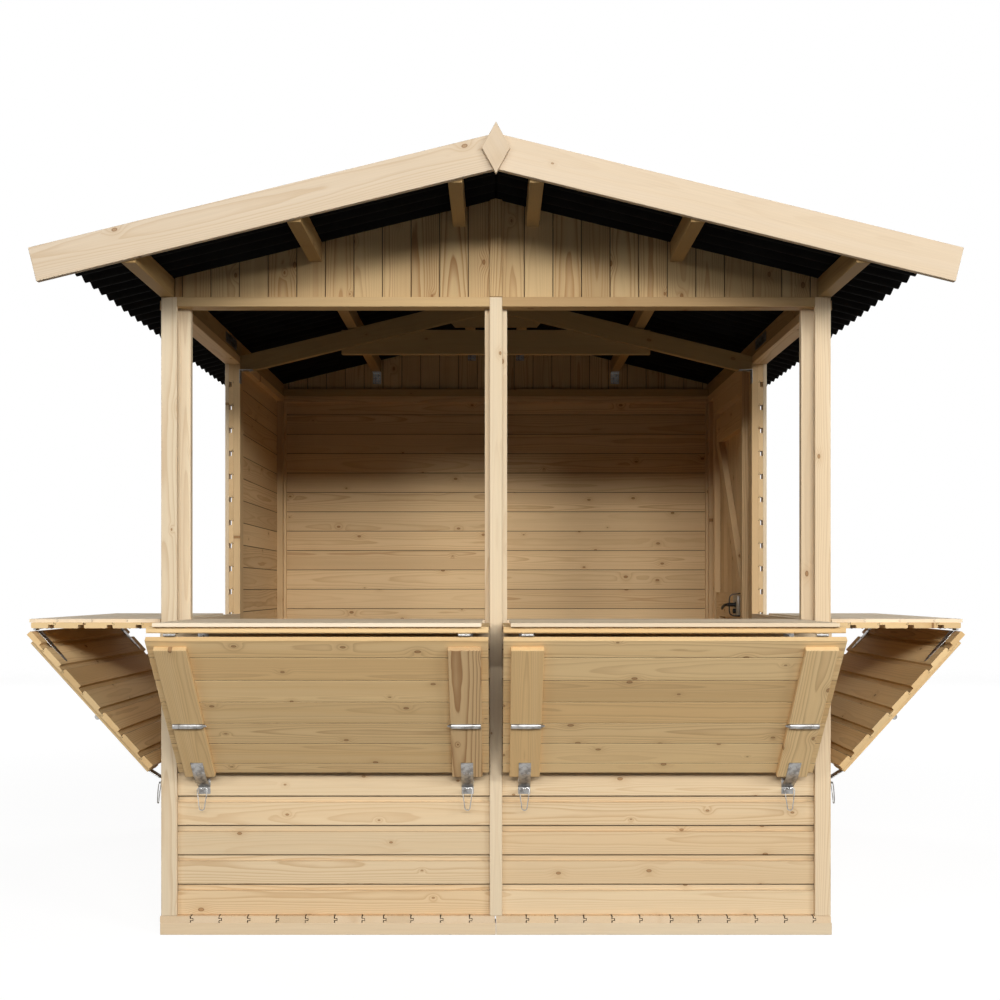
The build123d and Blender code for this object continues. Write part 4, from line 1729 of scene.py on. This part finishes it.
@dataclass
class Hatch:
    """One folding hatch: its counter, the prop that closes below it, and their ironwork."""

    side: Side
    middle: Vector
    half: float
    counter_node: str
    prop_node: str
    deck_joints: tuple[float, ...] = (0.0593, 0.1572, 0.2535, 0.3547)
    deck_out: Point2 = (0.002, 0.432)
    deck_height: Point2 = (1.021, 1.040)
    top_out: Point2 = (0.002, 0.446)
    top_height: Point2 = (1.040, 1.052)
    top_inset: float = 0.022
    top_joints: tuple[float, ...] = (0.118, 0.236, 0.354)
    prop_angle: float = 47.8
    prop_start: Point2 = (0.44682, 0.9997)
    prop_length: float = 0.61456
    prop_joints: tuple[float, ...] = (0.075, 0.1733, 0.2715, 0.3698, 0.4681, 0.5664)
    batten_width: float = 0.100
    batten_thickness: float = 0.017
    batten_start: float = 0.025
    batten_inset: float = 0.022
    barrel_at: float = 0.362
    barrel: tuple[Point2, ...] = (
        (-0.0605, 0.0008), (-0.0585, 0.0022), (-0.0480, 0.0078), (-0.0465, 0.0096),
        (-0.0315, 0.0096), (-0.0312, 0.0082), (-0.0290, 0.0082), (-0.0287, 0.0100),
        (0.0255, 0.0100), (0.0258, 0.0084), (0.0275, 0.0084), (0.0278, 0.0097),
        (0.0462, 0.0097), (0.0470, 0.0088), (0.0470, 0.0008),
    )  # fmt: skip
    batten_ease: float = 0.0025
    leaf_width: float = 0.036
    leaf_thickness: float = 0.002
    leaf_length: float = 0.140
    leaf_taper: float = 0.085
    leaf_screws: tuple[Point2, ...] = ((0.26, -0.4), (0.26, 0.4), (0.56, 0.0), (0.82, 0.0))
    prop_leaf_start: float = 0.004
    short_leaf_place: Point2 = (0.4380, 1.021)
    short_leaf: Point2 = (0.061, 0.010)
    long_leaf_place: Point2 = (0.006, 1.021)
    wall_leaf_place: Point2 = (0.0, 1.0205)
    wall_leaf: Point2 = (0.0455, 0.008)
    knuckle_place: Point2 = (0.440, 1.016)
    knuckle_radii: Point2 = (0.0012, 0.0048)
    wall_pin_place: Point2 = (0.0035, 1.0175)
    wall_pin_radii: Point2 = (0.001, 0.0034)
    sheared: float = 0.0004
    clip_out: float = 0.0155
    clip_top: float = 0.494
    clip_wire: float = 0.0017
    clip_bow: float = 0.0075
    clip_length_mm: float = 74.2
    clip_turn: float = 1.6
    clip_outline_mm: tuple[Point2, ...] = (
        (0, -7.2), (-2.2, -4.6), (-5.5, -1.0), (-9.5, -0.2), (-13.5, -2.2), (-16.2, -6.5),
        (-16.4, -13), (-14.6, -24), (-12.2, -40), (-9.8, -56), (-8.8, -66), (-7.0, -71.5),
        (-3.5, -73.6), (0, -74.2), (3.5, -73.6), (7.0, -71.5), (8.8, -66), (9.8, -56),
        (12.2, -40), (14.6, -24), (16.4, -13), (16.2, -6.5), (13.5, -2.2), (9.5, -0.2),
        (5.5, -1.0), (2.2, -4.6), (0, -7.2),
    )  # fmt: skip
    staple_height: float = 0.4877
    staple_wire: float = 0.0018
    staple: tuple[Point2, ...] = (
        (-0.006, -0.016), (-0.006, 0.006), (-0.0045, 0.0165), (0.0, 0.0190),
        (0.0045, 0.0165), (0.006, 0.006), (0.006, -0.016),
    )  # fmt: skip
    seat_half: float = 0.020
    seat_out: Point2 = (-0.016, -0.0145)
    seat_height: Point2 = (0.468, 0.520)

    def place(self, along: float, out: float, z: float) -> Vector:
        """A point from its distances along the opening, out from the wall, and its height."""
        return self.middle + self.side.along * along + self.side.out * out + Axis.Z.vector * z

    @property
    def hinge_places(self) -> tuple[float, float]:
        """Where the two battens and their hinges stand along the opening."""
        reach = self.half - self.batten_inset - self.batten_width / 2
        return (-reach, reach)

    def prop_frame(self) -> GrainFrame:
        """Make the prop's frame.

        Returns:
            The frame: along its boards' fibres, down its slope, and in through its thickness.
        """
        a = math.radians(self.prop_angle)
        down = -self.side.out * math.cos(a) - Axis.Z.vector * math.sin(a)
        inward = -self.side.out * math.sin(a) + Axis.Z.vector * math.cos(a)
        origin = self.place(0.0, *self.prop_start)
        return GrainFrame(origin, down.cross(inward), down, inward)

    def deck(self, drafts: HatchDrafts) -> None:
        """Lay the counter's boards and its smooth top.

        Args:
            drafts: the drafts that the hatches share.
        """
        draft = drafts.of(self.counter_node)
        across, down = -self.side.out, -Axis.Z.vector
        deck = (self.deck_joints, self.deck_out, self.deck_height, 0.0, SHIPLAP_BOARD)
        top = (self.top_joints, self.top_out, self.top_height, self.top_inset, TOP_BOARD)
        for slot, (joints, out, height, inset, section) in enumerate((deck, top)):
            origin = self.place(0.0, 0.0, height[1])
            frame = GrainFrame(origin, across.cross(down), across, down)
            run = BoardRun(section, tuple(-j for j in reversed(joints)), -out[1], -out[0])
            reach = self.half - inset
            run.lay(draft, frame, -reach, reach, slot)

    def batten_slot(self, at: float) -> int:
        """The material slot of a batten: one of the front's four was cut from redder wood."""
        front_left = self.side is Side.FRONT and self.middle.x < 0.0
        return int(front_left and at * self.side.along.x > 0.0)

    def prop(self, drafts: HatchDrafts) -> None:
        """Lay the prop's boards and its two battens.

        Args:
            drafts: the drafts that the hatches share.
        """
        frame = self.prop_frame()
        run = BoardRun(SHIPLAP_BOARD, self.prop_joints, 0.0, self.prop_length)
        run.lay(drafts.of(self.prop_node), frame, -self.half, self.half)
        battens = drafts.of("prop_battens")
        for at in self.hinge_places:
            sign = frame.along.dot(self.side.along)
            near = at * sign - self.batten_width / 2
            grain = GrainFrame(frame.origin, frame.across, frame.along, -frame.through)
            corners = [
                frame.point(a, c, w)
                for w in (-self.batten_thickness, 0.0)
                for c in (self.batten_start, self.prop_length)
                for a in (near, near + self.batten_width)
            ]
            wood = Solid(np.array(corners, float), BOX_FACES)
            battens.timber(wood, self.batten_ease, grain, self.batten_slot(at))

    def barrels(self, drafts: HatchDrafts) -> None:
        """Add the round pivots across the battens, their points toward the prop's middle.

        Args:
            drafts: the drafts that the hatches share.
        """
        frame = self.prop_frame()
        for at in self.hinge_places:
            sign = frame.along.dot(self.side.along)
            away = self.side.along * math.copysign(1.0, at)
            base = frame.point(at * sign, self.barrel_at, -self.batten_thickness)
            drafts.of("batten_barrels").turned(base, away, self.barrel, 24)

    def leaf(self, draft: Draft, frame: GrainFrame, length: float, taper: float) -> None:
        """Add a pointed strap leaf with its screws.

        Args:
            draft: the draft that takes it.
            frame: its own frame: along it, across it and down through it.
            length: its length.
            taper: how much of it narrows to the point.
        """
        w, t = self.leaf_width / 2, self.leaf_thickness
        shape = (
            (0.0, -w), (length - taper, -w), (length - 0.010, -w * 0.52), (length, -w * 0.2),
            (length, w * 0.2), (length - 0.010, w * 0.52), (length - taper, w), (0.0, w),
        )  # fmt: skip
        points = [frame.point(a, c, h) for h in (0.0, t) for a, c in shape]
        plate = Solid(np.array(points, float), prism_faces(len(shape)))
        draft.timber(plate, self.sheared, frame)
        for a, c in self.leaf_screws:
            self.screw(draft, frame.point(length * a, w * c, t), frame.through)

    @staticmethod
    def screw(draft: Draft, at: Vector, out: Vector, radius: float = 0.0042) -> None:
        """Add a domed screw head.

        Args:
            draft: the draft that takes it.
            at: the middle of its seat.
            out: the direction that it faces.
            radius: its radius.
        """
        r = radius
        section = (
            (-0.0008, r), (0.0002, r), (0.0010, r * 0.86), (0.0016, r * 0.55), (0.0018, r * 0.42),
            (0.0010, r * 0.36), (0.0010, r * 0.05),
        )  # fmt: skip
        draft.turned(at, out, section, 12)

    def hinges(self, drafts: HatchDrafts) -> None:
        """Add the strap hinges between wall, counter and prop.

        Args:
            drafts: the drafts that the hatches share.
        """
        draft = drafts.of("hatch_hinges")
        frame = self.prop_frame()
        out, down = self.side.out, -Axis.Z.vector
        half = self.leaf_width / 2
        (thin, thick), (pin_thin, pin) = self.knuckle_radii, self.wall_pin_radii
        for at in self.hinge_places:
            sign = frame.along.dot(self.side.along)
            seat = frame.point(at * sign, self.prop_leaf_start, SHIPLAP_BOARD.thickness)
            leaf = GrainFrame(seat, frame.across, frame.along, frame.across.cross(frame.along))
            if leaf.through.dot(frame.through) < 0:
                leaf = GrainFrame(seat, frame.across, -frame.along, frame.through)
            self.leaf(draft, leaf, self.leaf_length, self.leaf_taper)
            knuckle = self.place(at, *self.knuckle_place)
            for a, b in ((-half, -half / 3), (-half / 3, half / 3), (half / 3, half)):
                section = (
                    (a + 0.0002, thin), (a + 0.0003, thick),
                    (b - 0.0003, thick), (b - 0.0002, thin),
                )  # fmt: skip
                draft.turned(knuckle, self.side.along, section, 16)
            for place, along, through, (length, taper) in (
                (self.short_leaf_place, -out, down, self.short_leaf),
                (self.long_leaf_place, out, down, (self.leaf_length, self.leaf_taper)),
                (self.wall_leaf_place, down, out, self.wall_leaf),
            ):
                own = GrainFrame(self.place(at, *place), along, through.cross(along), through)
                self.leaf(draft, own, length, taper)
            section = ((-half, pin_thin), (-half, pin), (half, pin), (half, pin_thin))
            draft.turned(self.place(at, *self.wall_pin_place), self.side.along, section, 16)

    def latches(self, drafts: HatchDrafts) -> None:
        """Add the spring clips that hold the latch plates to the wall.

        Args:
            drafts: the drafts that the hatches share.
        """
        draft = drafts.of("spring_clips")
        for at in self.hinge_places:
            path: list[Vector] = []
            for a, b in self.clip_outline_mm:
                bow = self.clip_bow * math.sin(-b / self.clip_length_mm * self.clip_turn)
                path.append(self.place(at + a * MM, self.clip_out + bow, self.clip_top + b * MM))
            draft.tube(path, self.clip_wire, 8)
            staple = [self.place(at + a, out, self.staple_height) for a, out in self.staple]
            draft.tube(staple, self.staple_wire, 8)
            low = self.place(at - self.seat_half, self.seat_out[0], self.seat_height[0])
            high = self.place(at + self.seat_half, self.seat_out[1], self.seat_height[1])
            seat = box_between((low.x, high.x), (low.y, high.y), (low.z, high.z))
            draft.timber(seat, self.sheared)

    def build(self, drafts: HatchDrafts) -> None:
        """Add the hatch to the shared drafts.

        Args:
            drafts: the drafts that the hatches share.
        """
        self.deck(drafts)
        self.prop(drafts)
        self.barrels(drafts)
        self.hinges(drafts)
        self.latches(drafts)


@dataclass
class Hatches:
    """The four hatches, two at the front and one at each side."""

    front_wall: float = 0.953
    side_wall: float = 1.134
    front_middle: float = 0.53475
    front_half: float = 0.51225
    side_middle: float = -0.3945
    side_half: float = 0.5145
    plate_ease: float = 0.0006
    plate_rim: float = 0.003
    plate_bend: Point2 = (0.52, 0.53)
    plate_screws: tuple[Point2, ...] = ((0.3, -0.010), (0.3, 0.010), (0.7, -0.010), (0.7, 0.010))
    plate_half: float = 0.0015
    plate_screw: float = 0.0036

    def build(self) -> None:
        """Build every hatch and turn the shared drafts into pieces."""
        front = Side.FRONT.out * self.front_wall
        across, deep = Axis.X.vector, Axis.Y.vector
        places = (
            (Side.FRONT, front - across * self.front_middle, self.front_half, "front"),
            (Side.FRONT, front + across * self.front_middle, self.front_half, "front"),
            (Side.LEFT, -across * self.side_wall + deep * self.side_middle, self.side_half, "side"),
            (Side.RIGHT, across * self.side_wall + deep * self.side_middle, self.side_half, "side"),
        )
        drafts = HatchDrafts()
        for side, middle, half, word in places:
            Hatch(side, middle, half, f"{word}_counters", f"{word}_props").build(drafts)
        for solid in node_solids("latch_plates"):
            self.latch_plate(drafts.of("latch_plates"), solid)
        # The hatch pine is a more saturated copy: painted shade under the counters and props.
        wood = {
            "front_counters": (Look.HATCH, Look.COUNTER),
            "side_counters": (Look.HATCH, Look.COUNTER),
            "front_props": Look.HATCH,
            "side_props": Look.HATCH,
            "prop_battens": (Look.HATCH, Look.BATTEN),
        }
        for node, draft in drafts.drafts.items():
            if node in wood:
                draft.build(f"{node}_boards", wood[node], Slot.HATCH, (node,))
            else:
                draft.build(f"{node}_steel", Look.ZINC, Slot.ZINC, (node,), smooth=True)

    def latch_plate(self, draft: Draft, solid: Solid) -> None:
        """Add a bent latch plate with rounded edges and its screws.

        Args:
            draft: the draft that takes it.
            solid: the plate's CAD solid.
        """
        draft.timber(solid, self.plate_ease)
        top = [Vector(p) for p in solid.points if p[2] > solid.high.z - self.plate_rim]
        middle = sum(top, Vector()) / len(top)
        low, high = self.plate_bend
        bend = [Vector(p) for p in solid.points if low < p[2] < high]
        knee = sum(bend, Vector()) / len(bend)
        slope = (knee - middle).normalized()
        side = Axis.Y.vector if abs(slope.x) > abs(slope.y) else Axis.X.vector
        out = slope.cross(side)
        if out.z > 0:
            out = -out
        for part, shift in self.plate_screws:
            at = middle.lerp(knee, part) + side * shift + out * self.plate_half
            Hatch.screw(draft, at, out, self.plate_screw)


@dataclass
class Door:
    """The boarded side door with its ledges, straps, pins and lock."""

    near: float = 0.297
    far: float = 1.015
    bottom: float = 0.071
    top: float = 2.008
    inner: float = 1.099
    pitch: float = 0.0984
    first_cover: float = 0.090
    least: float = 0.03
    ledge_face: float = 1.071
    bolt_face: float = 1.121
    strap_bolts: tuple[float, ...] = (0.665, 0.730, 0.808, 0.886, 0.952)
    pin_bolts: tuple[float, ...] = (1.045, 1.075)
    pin_heights: tuple[float, ...] = (0.012, 0.030)
    lock_middle: float = 1.080
    outer_face: float = 1.118
    lever: float = 0.388
    lever_radius: float = 0.0062
    bow: tuple[Point2, ...] = (
        (0.001, -0.044), (0.014, -0.045), (0.040, -0.043), (0.051, -0.036), (0.054, -0.022),
        (0.054, 0.026), (0.051, 0.042), (0.040, 0.050), (0.014, 0.052), (0.001, 0.054),
    )  # fmt: skip
    bow_place: float = 0.338
    bow_radius: float = 0.0028
    case_face: float = 0.017
    hub: tuple[Point2, ...] = (
        (0.0, 0.0005), (0.0, 0.014), (0.004, 0.013), (0.005, 0.0085), (0.036, 0.0085),
        (0.038, 0.0005),
    )  # fmt: skip
    key: tuple[Point2, ...] = (
        (0.0, 0.0005), (0.0, 0.011), (0.010, 0.011), (0.012, 0.009), (0.012, 0.0005),
    )  # fmt: skip
    outer_key: tuple[Point2, ...] = ((0.0, 0.0005), (0.0, 0.011), (0.010, 0.011), (0.010, 0.0005))
    grip: tuple[tuple[float, float, float], ...] = (
        (0.048, 0.0, 0.004), (0.056, 0.008, 0.004), (0.060, 0.024, 0.002),
        (0.061, 0.058, -0.004), (0.060, 0.086, -0.010), (0.058, 0.100, -0.014),
    )  # fmt: skip
    handle: tuple[Point2, ...] = (
        (0.036, 0.0), (0.041, 0.008), (0.0425, 0.024), (0.042, 0.058), (0.040, 0.086),
        (0.036, 0.100),
    )  # fmt: skip

    def leaf(self) -> None:
        """Build the upright boards, ledges and braces."""
        draft = Draft(81)
        origin = Vector((self.inner, 0.0, 0.0))
        frame = GrainFrame(origin, Axis.Z.vector, -Axis.Y.vector, Axis.X.vector)
        low, high = -self.far, -self.near
        joints = joint_grid(low + self.first_cover, self.pitch, low, high - self.least)
        BoardRun(SHIPLAP_BOARD, joints, low, high).lay(draft, frame, self.bottom, self.top)
        # The door boards and ledges take the darker interior copy: painted shade inside the stall.
        draft.build("door_boards", Look.INTERIOR_SHADE, Slot.BOARDS, ("door_leaf",), Body.DOOR)
        TimberNode("door_ledges", Look.INTERIOR_SHADE, Slot.FRAMING, 0.002, Body.DOOR).build(82)

    def straps(self) -> None:
        """Build the straps on the leaf and the pins on the frame, with their bolts."""
        leaf = Draft(83)
        for solid in node_solids("door_straps"):
            leaf.timber(solid, 0.0005, GrainFrame.of(solid.middle, Axis.Y.vector, Axis.Z.vector))
            z = (solid.low.z + solid.high.z) / 2
            for y in self.strap_bolts:
                self.bolt(leaf, Vector((self.bolt_face, y, z)))
        zinc = Look.ZINC
        leaf.build("door_straps_steel", zinc, Slot.ZINC, ("door_straps",), Body.DOOR, True)
        pins = Draft(84)
        for solid in node_solids("door_hinge_pins"):
            pins.timber(solid, 0.0004, GrainFrame.of(solid.middle, Axis.Z.vector, Axis.Y.vector))
            for height in self.pin_heights:
                for y in self.pin_bolts:
                    self.bolt(pins, Vector((self.bolt_face, y, solid.low.z + height)), 0.0045)
        pins.build("door_hinge_pins_steel", zinc, Slot.ZINC, ("door_hinge_pins",), smooth=True)

    @staticmethod
    def bolt(draft: Draft, at: Vector, radius: float = 0.0062) -> None:
        """Add a mushroom bolt head that faces outward.

        Args:
            draft: the draft that takes it.
            at: the middle of its seat.
            radius: its radius.
        """
        r = radius
        section = (
            (-0.001, r), (0.0008, r), (0.0024, r * 0.82), (0.0034, r * 0.45), (0.0036, r * 0.06),
        )  # fmt: skip
        draft.turned(at, Axis.X.vector, section, 14)

    def lock(self) -> None:
        """Build the rim lock with its bow, lever and outer handle."""
        draft = Draft(85)
        face, z = self.ledge_face, self.lock_middle
        case = box_between((face - 0.018, face), (0.345, 0.445), (z - 0.045, z + 0.045))
        draft.timber(case, 0.003, slot=1)
        keep = box_between((face - 0.002, face), (0.331, 0.345), (z - 0.040, z + 0.040))
        draft.timber(keep, 0.0008)
        bow = [Vector((face - x, self.bow_place, z + h)) for x, h in self.bow]
        draft.tube(bow, self.bow_radius, 8)
        out, seat, y = Axis.X.vector, face - self.case_face, self.lever
        draft.turned(Vector((seat, y, z + 0.004)), -out, self.hub, 20)
        grip = [Vector((face - x, y + along, z + h)) for x, along, h in self.grip]
        draft.tube(grip, self.lever_radius, 12)
        draft.turned(Vector((seat, y, z - 0.024)), -out, self.key, 20)
        outer = self.outer_face
        plate = box_between((outer, outer + 0.003), (0.365, 0.411), (z - 0.072, z + 0.042))
        draft.timber(plate, 0.001)
        seat = outer + 0.003
        draft.turned(Vector((seat, y, z)), out, self.hub, 20)
        handle = [Vector((outer + x, y + along, z)) for x, along in self.handle]
        draft.tube(handle, self.lever_radius, 12)
        draft.turned(Vector((seat, y, z - 0.050)), out, self.outer_key, 20)
        metals = (Look.DARK, Look.CASE)
        draft.build("door_lock_steel", metals, Slot.DARK, ("door_lock",), Body.DOOR, True)

    def build(self) -> None:
        """Build the door."""
        self.leaf()
        self.straps()
        self.lock()


@dataclass
class Brackets:
    """The perforated angle brackets under the truss and the purlins."""

    thickness: float = 0.002
    cell: float = 0.0135
    hole: float = 0.0026
    truss_x: float = 1.071
    truss_z: float = 2.0675
    truss_y: float = 0.110
    purlin_lines: tuple[Point2, ...] = ((0.122, 2.3661), (0.6035, 2.2483))
    back_face: float = 1.245
    purlin_face: float = 1.0765
    tie_start: Point2 = (-0.132, 2.141)
    tie_rows: int = 15
    rows: int = 4
    columns: int = 3
    truss_shift: float = 0.012
    screw_row: float = 0.9
    screw_shift: float = 0.5
    screw_radius: float = 0.0040

    def plate(self, draft: Draft, frame: GrainFrame, rows: int, columns: int) -> None:
        """Add a flat plate with a round hole in every cell.

        Args:
            draft: the draft that takes it.
            frame: its own frame, from the corner of its seat.
            rows: how many cells it is long.
            columns: how many cells it is wide.
        """
        index: dict[tuple[int, int, int], int] = {}
        points: list[Vector] = []
        faces: list[Face] = []
        c = self.cell

        def corner(i: int, j: int, k: int) -> int:
            """Find a shared point on the half-cell grid.

            Args:
                i: its half cells along the plate.
                j: its half cells across it.
                k: 0 under the plate, 1 on top.

            Returns:
                The point's number.
            """
            if (i, j, k) not in index:
                index[(i, j, k)] = len(points)
                points.append(frame.point(i * c / 2, j * c / 2, k * self.thickness))
            return index[(i, j, k)]

        ring = ((0, 0), (1, 0), (2, 0), (2, 1), (2, 2), (1, 2), (0, 2), (0, 1))
        for row in range(rows):
            for column in range(columns):
                base = len(points)
                for k in (0, 1):
                    for i, j in ring:
                        aim = Vector((i - 1, j - 1)).normalized() * self.hole
                        a, b = (row + 0.5) * c + aim.x, (column + 0.5) * c + aim.y
                        points.append(frame.point(a, b, k * self.thickness))
                for n in range(8):
                    m = (n + 1) % 8
                    edge = [(2 * row + i, 2 * column + j) for i, j in (ring[n], ring[m])]
                    outer = [[corner(*end, k) for end in edge] for k in (0, 1)]
                    faces.append((outer[1][0], outer[1][1], base + 8 + m, base + 8 + n))
                    faces.append((outer[0][1], outer[0][0], base + n, base + m))
                    faces.append((base + n, base + m, base + 8 + m, base + 8 + n)[::-1])
                    limits = (0, 2 * rows), (0, 2 * columns)
                    if any(edge[0][s] == edge[1][s] and edge[0][s] in limits[s] for s in (0, 1)):
                        faces.append((outer[0][0], outer[0][1], outer[1][1], outer[1][0]))
        draft.add(turned_out(points, faces), frame)

    def bracket(
        self, draft: Draft, corner: Vector, first: Vector, second: Vector, rows: int
    ) -> None:
        """Add an angle bracket with two legs that meet at a corner, and its screws.

        Args:
            draft: the draft that takes it.
            corner: the middle of the corner's line.
            first: the direction of one leg.
            second: the direction of the other leg.
            rows: how many cells each leg is long.
        """
        columns = self.columns
        width = first.cross(second)
        start = corner - width * (columns * self.cell / 2)
        self.plate(draft, GrainFrame(start, first, width, first.cross(width)), rows, columns)
        self.plate(draft, GrainFrame(start, second, width, second.cross(width)), rows, columns)
        for leg, out in ((first, second), (second, first)):
            for row, shift in (
                (self.screw_row, -self.screw_shift), (rows - self.screw_row, self.screw_shift),
            ):  # fmt: skip
                at = corner + leg * (row * self.cell) + width * (shift * self.cell)
                Hatch.screw(draft, at + out * self.thickness, out, self.screw_radius)

    def build(self) -> None:
        """Build every bracket as one piece."""
        draft = Draft(91)
        for sign in (-1, 1):
            start = Vector((sign * self.purlin_face, *self.tie_start))
            inward = Axis.X.vector * -sign
            tie = GrainFrame(start, Axis.Y.vector, Axis.Z.vector, inward)
            self.plate(draft, tie, self.tie_rows, self.columns)
            corner = Vector((sign * self.truss_x, self.truss_y + self.truss_shift, self.truss_z))
            self.bracket(draft, corner, inward, -Axis.Z.vector, self.rows)
            for x, z in self.purlin_lines:
                at = Vector((sign * x, self.back_face, z))
                self.bracket(draft, at, -Axis.Y.vector, -Axis.Z.vector, self.rows)
        draft.build("angle_brackets", Look.ZINC, Slot.ZINC, smooth=True)


# -------- studio


@dataclass(frozen=True)
class Lamp:
    """A soft rectangular lamp that faces the stall."""

    name: str
    place: tuple[float, float, float]
    size: Point2
    power: float
    target: tuple[float, float, float] = (0.0, 0.0, 1.2)

    def build(self) -> None:
        """Hang the lamp."""
        data = bpy.data.lights.new(self.name, "AREA")
        data.shape = "RECTANGLE"
        data.size, data.size_y = self.size
        data.energy = self.power
        lamp = bpy.data.objects.new(self.name, data)
        lamp.location = self.place
        aim = Vector(self.target) - Vector(self.place)
        lamp.rotation_euler = aim.to_track_quat("-Z", "Y").to_euler()
        bpy.context.scene.collection.objects.link(lamp)


@dataclass
class Studio:
    """The pale floor, soft lamps, white surround and camera."""

    camera_place: tuple[float, float, float] = (0.0, -5.153, 1.155)
    lens: float = 45.36
    shift: Point2 = (0.00405, 0.0885)
    world_level: float = 0.005
    lamps: tuple[Lamp, ...] = (
        Lamp("key_low", (0.9, -11.0, 4.16), (7.0, 0.8), 600.0),
        Lamp("key_high", (0.9, -10.6, 5.20), (7.0, 1.3), 215.0),
        Lamp("right_front", (8.2, -8.2, 4.2), (3.5, 1.4), 440.0),
        Lamp("left_front", (-7.0, -9.0, 4.2), (3.0, 1.4), 250.0),
        Lamp("left_back", (-8.0, 8.0, 3.6), (3.0, 3.0), 460.0),
        Lamp("right_back", (8.0, 8.0, 3.6), (3.0, 3.0), 460.0),
    )
    floor_radius: float = 16.0
    floor_fade: Point2 = (0.35, 0.95)
    floor_base: float = 0.19
    floor_glow: float = 0.89

    def camera(self) -> None:
        """Make the camera, level and square to the front."""
        data = bpy.data.cameras.new("camera")
        data.lens = self.lens
        data.sensor_width = 36.0
        data.shift_x, data.shift_y = self.shift
        camera = bpy.data.objects.new("camera", data)
        camera.location = self.camera_place
        camera.rotation_euler = (math.pi / 2, 0.0, 0.0)
        bpy.context.scene.collection.objects.link(camera)
        bpy.context.scene.camera = camera

    @staticmethod
    def seen(tree: bpy.types.NodeTree) -> Socket:
        """Tell direct, glossy and transmitted views from light.

        Args:
            tree: the nodes of the surround or the floor.

        Returns:
            1 for a view, and 0 for light.
        """
        paths = tree.nodes.new("ShaderNodeLightPath").outputs
        found = paths["Is Transmission Ray"]
        for name in ("Is Glossy Ray", "Is Camera Ray"):
            node = tree.nodes.new("ShaderNodeMath")
            node.operation = "MAXIMUM"
            tree.links.new(paths[name], node.inputs[0])
            tree.links.new(found, node.inputs[1])
            found = node.outputs[0]
        return found

    def world(self) -> None:
        """Make the surround: white to the camera, gloss and glass, softer as light."""
        world = bpy.data.worlds.new("surround")
        world.use_nodes = True
        tree = world.node_tree
        tree.nodes.clear()
        strength = tree.nodes.new("ShaderNodeMapRange")
        strength.inputs["To Min"].default_value = self.world_level
        strength.inputs["To Max"].default_value = 1.0
        tree.links.new(self.seen(tree), strength.inputs["Value"])
        background = tree.nodes.new("ShaderNodeBackground")
        background.inputs["Color"].default_value = (1.0, 1.0, 1.0, 1.0)
        tree.links.new(strength.outputs[0], background.inputs["Strength"])
        output = tree.nodes.new("ShaderNodeOutputWorld")
        tree.links.new(background.outputs[0], output.inputs["Surface"])
        bpy.context.scene.world = world

    def floor(self) -> None:
        """Make the pale floor, which fades out towards its edge."""
        n = Nodes("pale_floor")
        geometry = n.tree.nodes.new("ShaderNodeNewGeometry")
        x, y, _ = n.split(geometry.outputs["Position"])
        start, end = (self.floor_radius * share for share in self.floor_fade)
        fade = n.step(n.length(x, y), start, end)
        n.shader.inputs["Base Color"].default_value = (*[self.floor_base] * 3, 1.0)
        n.shader.inputs["Roughness"].default_value = 0.9
        n.shader.inputs["Specular IOR Level"].default_value = 0.0
        n.shader.inputs["Emission Color"].default_value = (1.0, 1.0, 1.0, 1.0)
        glow = n.math("MULTIPLY", self.seen(n.tree), self.floor_glow)
        n.link(glow, n.shader.inputs["Emission Strength"])
        clear = n.tree.nodes.new("ShaderNodeBsdfTransparent")
        mixed = n.tree.nodes.new("ShaderNodeMixShader")
        n.link(fade, mixed.inputs[0])
        n.tree.links.new(n.shader.outputs[0], mixed.inputs[1])
        n.tree.links.new(clear.outputs[0], mixed.inputs[2])
        n.tree.links.new(mixed.outputs[0], n.output.inputs["Surface"])
        bm = bmesh.new()
        bmesh.ops.create_circle(bm, cap_ends=True, radius=self.floor_radius, segments=96)
        mesh = bpy.data.meshes.new("floor")
        bm.to_mesh(mesh)
        bm.free()
        mesh.materials.append(n.material)
        floor = bpy.data.objects.new("floor", mesh)
        bpy.context.scene.collection.objects.link(floor)

    def build(self) -> None:
        """Set up the whole studio."""
        self.camera()
        for lamp in self.lamps:
            lamp.build()
        self.world()
        self.floor()
        bpy.context.scene.view_settings.view_transform = "Standard"


def main() -> None:
    """Build the stall and its studio."""
    logging.basicConfig(level=logging.INFO, format="%(message)s")
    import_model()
    Studio().build()
    for part in (Base(), Cladding(), Gables(), Framing(), Roof(), Hatches(), Door(), Brackets()):
        part.build()


if __name__ == "__main__":
    main()
